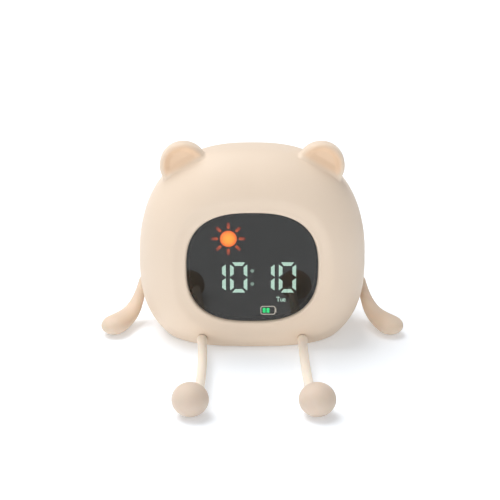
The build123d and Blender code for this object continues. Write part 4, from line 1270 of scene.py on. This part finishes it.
class ClockLegs(Operator):
    """Soft legs with round roots, and the ball feet"""

    bl_idname = "clock.legs"
    bl_label = "Legs and feet"

    bow_x = {"right": 0.0268, "left": 0.0253}
    bow_depth = -0.062
    ankle_x = {"right": 0.0286, "left": 0.0261}
    ankle_sink = 0.004
    foot_x = {"right": 0.0313, "left": 0.0298}
    root_share = 0.06
    steps = 64
    root_steps = 10
    foot_steps = 48
    foot_segments = 72

    def execute(self, context):
        limbs = context.scene.clock_limbs
        tree = dome_tree(context.scene.clock_housing, context.scene.clock_lens)
        for name, side in SIDES.items():
            body = name + "_leg"
            soft_leg = name + "_soft_leg"
            leg = joined_mesh(soft_leg, [self.leg(limbs, tree, name, side)])
            place_piece(soft_leg, leg, silicone_material("leg"), body, [body])
            ball_foot = name + "_ball_foot"
            foot = joined_mesh(ball_foot, [self.foot(limbs, name, side)])
            place_piece(ball_foot, foot, silicone_material("foot"), body, [name + "_foot"])
        return {"FINISHED"}

    def round_ring(self, middle, along, radius):
        """Circle across a direction along the leg."""
        first = Vector((0, 0, 1)).cross(along).normalized()
        return oval_ring(middle, first, along.cross(first), radius, radius, RING_POINTS)

    def leg(self, limbs, tree, name, side):
        """Rings along the leg's bow, with a round root."""
        point, normal = hip_place(limbs, tree, side)
        pivot = point + normal * limbs.hip_stand
        middle_height = limbs.foot_height / 2
        ankle = Vector((side * self.ankle_x[name], limbs.foot_depth + self.ankle_sink, middle_height))
        share = (self.bow_depth - pivot.y) / (ankle.y - pivot.y)
        bow = Vector((side * self.bow_x[name], self.bow_depth, blend(pivot.z, ankle.z, share)))
        control = (bow - pivot * (1 - share) ** 2 - ankle * share**2) / (2 * share * (1 - share))
        along = (control - pivot).normalized()
        rings = []
        for step in range(1, self.root_steps + 1):
            turn = math.pi / 2 * step / self.root_steps
            middle = pivot - along * limbs.root_radius * math.cos(turn)
            rings.append(self.round_ring(middle, along, limbs.root_radius * math.sin(turn)))
        for step in range(1, self.steps + 1):
            share = step / self.steps
            rest = 1 - share
            middle = pivot * rest * rest + control * 2 * rest * share + ankle * share * share
            along = ((control - pivot) * rest + (ankle - control) * share).normalized()
            slim = blend(limbs.leg_radius, limbs.ankle_radius, share)
            radius = blend(limbs.root_radius, slim, ease(share, 0, self.root_share))
            rings.append(self.round_ring(middle, along, radius))
        return capped_tube(rings)

    def foot(self, limbs, name, side):
        """Ball that is a little lower than it is wide."""
        middle = (side * self.foot_x[name], limbs.foot_depth, limbs.foot_height / 2)
        profile = ball_profile(limbs.foot_diameter / 2, limbs.foot_height / 2, 0, self.foot_steps)
        return lathe(profile, middle, (0, 0, 1), self.foot_segments)


class ClockButtons(Operator):
    """Dished rubber buttons on the back, each with a raised generic sign"""

    bl_idname = "clock.buttons"
    bl_label = "Buttons"

    radius = 0.0045
    segments = 64
    face = 0.0407
    edge_round = 0.0008
    edge_steps = 8
    dish = 0.0004
    dish_floor = 0.3
    dish_shares = (0.9, 0.75, 0.55, 0.35, 0.15)
    flange_radius = 0.0055
    flange_front = 0.0369
    flange_back = 0.0357
    stem_radius = 0.002
    stem_end = 0.0315
    sign_half = 0.0015
    sign_stroke = 0.00035
    sign_front = 0.00015
    sign_depth = 0.0004
    bar_points = 32
    hoop_points = 48
    dot_reach = 0.0016
    dots = 6

    def execute(self, context):
        rubber = moulded("button_rubber")
        print_ink = moulded("sign_ink")
        for name, middle in button_middles().items():
            body = name + "_button"
            button = joined_mesh(name + "_cap", [lathe(self.profile(), middle, (0, 1, 0), self.segments)])
            place_piece(name + "_cap", button, rubber, body, [body])
            sign = joined_mesh(name + "_sign", self.sign(name, middle))
            place_piece(name + "_sign", sign, print_ink, body, [])
        return {"FINISHED"}

    def profile(self):
        """Radius and depth from the stem's end to the middle of the dished face."""
        points = [
            (self.stem_radius, self.stem_end),
            (self.stem_radius, self.flange_back),
            (self.flange_radius, self.flange_back),
            (self.flange_radius, self.flange_front),
            (self.radius, self.flange_front),
        ]
        inner = self.radius - self.edge_round
        for turn in np.linspace(0, math.pi / 2, self.edge_steps + 1):
            out = inner + self.edge_round * math.cos(turn)
            points.append((out, self.face - self.edge_round * (1 - math.sin(turn))))
        for share in self.dish_shares:
            depth = self.dish * (1 - ease(share, self.dish_floor, 1))
            points.append((inner * share, self.face - depth))
        return points

    def bar(self, middle, half_width, half_height):
        """Flat bar of a sign with round ends."""
        front = self.face - self.sign_front
        loop = rounded_loop(half_width, half_height, min(half_width, half_height), 0, self.bar_points)
        rings = []
        for depth in (front - self.sign_depth, front):
            rings.append([(middle.x + x, depth, middle.z + z) for x, z in loop])
        return capped_tube(rings)

    def hoop(self, middle, radius):
        """Ring of a sign."""
        front = self.face - self.sign_front
        profile = (
            (radius + self.sign_stroke, front - self.sign_depth),
            (radius + self.sign_stroke, front),
            (radius - self.sign_stroke, front),
            (radius - self.sign_stroke, front - self.sign_depth),
        )
        return closed_band(turned_rings(profile, middle, (0, 1, 0), self.hoop_points))

    def sign(self, name, middle):
        """Shells of a button's sign: ring, minus, plus, or a dot with a circle of dots."""
        stroke = self.sign_stroke
        if name == "set":
            return [self.hoop(middle, self.sign_half)]
        if name == "down":
            return [self.bar(middle, self.sign_half, stroke)]
        if name == "up":
            return [self.bar(middle, self.sign_half, stroke), self.bar(middle, stroke, self.sign_half)]
        shells = [self.bar(middle, 2 * stroke, 2 * stroke)]
        for step in range(self.dots):
            turn = 2 * math.pi * step / self.dots
            away = Vector((math.cos(turn), 0, math.sin(turn))) * self.dot_reach
            shells.append(self.bar(middle + away, stroke, stroke))
        return shells


class ClockBasePad(Operator):
    """Non-slip pad under the housing"""

    bl_idname = "clock.base_pad"
    bl_label = "Base pad"

    half_width = 0.038
    half_length = 0.017
    corner = 0.015
    top = 0.0015
    edge = 0.0004
    edge_share = 0.3
    points = 128

    def execute(self, context):
        turn_in = self.edge * self.edge_share
        rings = []
        for height, growth in ((0.0, -self.edge), (turn_in, -turn_in), (self.edge, 0), (self.top, 0)):
            loop = rounded_loop(self.half_width, self.half_length, self.corner, growth, self.points)
            rings.append([(x, y, height) for x, y in loop])
        pad = joined_mesh("non_slip_pad", [capped_tube(rings)])
        place_piece("non_slip_pad", pad, moulded("pad_rubber"), "housing", ["base_pad"])
        return {"FINISHED"}


class ClockInnerFinishes(Operator):
    """Finishes of the boards, cell, speaker, leads and fasteners inside"""

    bl_idname = "clock.inner_finishes"
    bl_label = "Inner finishes"

    steel_nodes = (
        "display_screws",
        "board_screws",
        "case_screws",
        "usb_socket",
        "speaker_frame",
        "speaker_magnet",
    )

    def execute(self, context):
        plungers = [name + "_plunger" for name in BUTTONS]
        finishes = {
            board_material(): ("display_board", "main_board"),
            steel_material(): self.steel_nodes,
            moulded("moulded_black"): ("board_chips", "tact_switches", "battery_cradle"),
            moulded("moulded_white"): ("display_leds", "ribbon_cable", *plungers),
            moulded("cell_sleeve"): ("battery",),
            moulded("wire_cover"): ("battery_lead", "speaker_lead"),
            moulded("cone_paper"): ("speaker_cone",),
            silicone_material("leg"): ("left_leg_plug", "right_leg_plug"),
        }
        for finish, nodes in finishes.items():
            for node in nodes:
                dress_node(node, finish)
        return {"FINISHED"}


class ClockStageSet(Operator):
    """Pale floor, soft studio light and the camera"""

    bl_idname = "clock.stage_set"
    bl_label = "Stage"

    floor_reach = 6.0
    floor_tint = (0.86, 0.90, 0.95, 1)
    seen_lift = 0.25
    bounce_lift = 0.17
    key_place = (-0.35, 0.32, 1.0)
    key_spread = math.radians(45)
    fill_place = (-0.34, -1.0, 0.12)
    fill_spread = math.radians(20)
    sensor = 36
    shift_x = -0.0045
    shift_y = -0.0163
    nearest = 0.01

    def execute(self, context):
        stage = context.scene.clock_stage
        context.scene.view_settings.view_transform = "Standard"
        self.floor()
        self.sky(context.scene, stage.sky)
        self.lamp("key_lamp", self.key_place, self.key_spread, stage.key)
        self.lamp("fill_lamp", self.fill_place, self.fill_spread, stage.fill)
        self.camera(context.scene, stage)
        return {"FINISHED"}

    def seen_directly(self, tree):
        """Value that is 1 for camera, glossy and transmission rays."""
        rays = tree.nodes.new("ShaderNodeLightPath").outputs
        total = rays["Is Camera Ray"]
        for kind in ("Is Glossy Ray", "Is Transmission Ray"):
            larger = add_node(tree, "ShaderNodeMath", {0: total, 1: rays[kind]}, operation="MAXIMUM")
            total = larger.outputs["Value"]
        return total

    def floor(self):
        """Floor that shows white with the object's shadow on it."""
        mesh = bpy.data.meshes.new("studio_floor")
        far = self.floor_reach
        corners = ((-far, -far, 0), (far, -far, 0), (far, far, 0), (-far, far, 0))
        mesh.from_pydata(corners, [], [(0, 1, 2, 3)])
        floor = add_object("studio_floor", mesh)
        finish = bpy.data.materials.new("studio_floor")
        finish.use_nodes = True
        tree = finish.node_tree
        tree.nodes.clear()
        matte = add_node(tree, "ShaderNodeBsdfDiffuse", {"Color": self.floor_tint})
        lifts = {0: self.seen_directly(tree), 1: self.seen_lift - self.bounce_lift, 2: self.bounce_lift}
        strength = add_node(tree, "ShaderNodeMath", lifts, operation="MULTIPLY_ADD")
        lift = add_node(tree, "ShaderNodeEmission", {"Strength": strength.outputs["Value"]})
        shaders = {0: matte.outputs["BSDF"], 1: lift.outputs["Emission"]}
        both = add_node(tree, "ShaderNodeAddShader", shaders)
        add_node(tree, "ShaderNodeOutputMaterial", {"Surface": both.outputs["Shader"]})
        mesh.materials.append(finish)

    def sky(self, scene, strength):
        """White surroundings for the camera and reflections, softer light for the object."""
        world = bpy.data.worlds.new("studio_sky")
        scene.world = world
        world.use_nodes = True
        tree = world.node_tree
        light = tree.nodes["Background"]
        fill_inputs(tree, light, {"Color": WHITE, "Strength": strength})
        white = add_node(tree, "ShaderNodeBackground", {"Color": WHITE, "Strength": 1})
        shaders = {
            "Fac": self.seen_directly(tree),
            1: light.outputs["Background"],
            2: white.outputs["Background"],
        }
        choice = add_node(tree, "ShaderNodeMixShader", shaders)
        fill_inputs(tree, tree.nodes["World Output"], {"Surface": choice.outputs["Shader"]})

    def lamp(self, name, place, spread, strength):
        """Broad distant lamp, so that the floor is lit evenly."""
        light = bpy.data.lights.new(name, "SUN")
        light.energy = strength
        light.angle = spread
        lamp = add_object(name, light)
        lamp.location = place
        lamp.rotation_euler = (-Vector(place)).to_track_quat("-Z", "Y").to_euler()

    def camera(self, scene, stage):
        """Camera at the photograph's height angle and framing."""
        view = bpy.data.cameras.new("camera")
        view.lens = stage.focal
        view.sensor_width = self.sensor
        view.shift_x = self.shift_x
        view.shift_y = self.shift_y
        view.clip_start = self.nearest
        camera = add_object("camera", view)
        back = stage.distance * math.cos(stage.elevation)
        camera.location = (0, -back, stage.aim + stage.distance * math.sin(stage.elevation))
        camera.rotation_euler = (math.pi / 2 - stage.elevation, 0, 0)
        scene.camera = camera


class ClockPanel(Panel):
    """Buttons for every piece of the clock."""

    bl_idname = "VIEW3D_PT_clock"
    bl_label = "Sleep trainer clock"
    bl_space_type = "VIEW_3D"
    bl_region_type = "UI"
    bl_category = "Clock"

    def draw(self, context):
        for step in STEPS:
            self.layout.operator(step.bl_idname)


GROUPS = {
    "clock_housing": ClockHousing,
    "clock_lens": ClockLens,
    "clock_limbs": ClockLimbs,
    "clock_display": ClockDisplay,
    "clock_stage": ClockStage,
}
STEPS = (
    ClockFrontCover,
    ClockRearCover,
    ClockDisplayFinish,
    ClockDayWord,
    ClockArms,
    ClockLegs,
    ClockButtons,
    ClockBasePad,
    ClockInnerFinishes,
    ClockStageSet,
)


def register():
    """Register the property groups, operators and panel."""
    for name, group in GROUPS.items():
        bpy.utils.register_class(group)
        setattr(bpy.types.Scene, name, PointerProperty(type=group))
    for step in (*STEPS, ClockPanel):
        bpy.utils.register_class(step)


def unregister():
    """Take everything out again."""
    for step in (ClockPanel, *reversed(STEPS)):
        bpy.utils.unregister_class(step)
    for name, group in GROUPS.items():
        delattr(bpy.types.Scene, name)
        bpy.utils.unregister_class(group)


def main():
    """Build every piece in order."""
    register()
    for step in STEPS:
        area, name = step.bl_idname.split(".")
        getattr(getattr(bpy.ops, area), name)()
    bpy.context.view_layer.update()


if __name__ == "__main__":
    main()
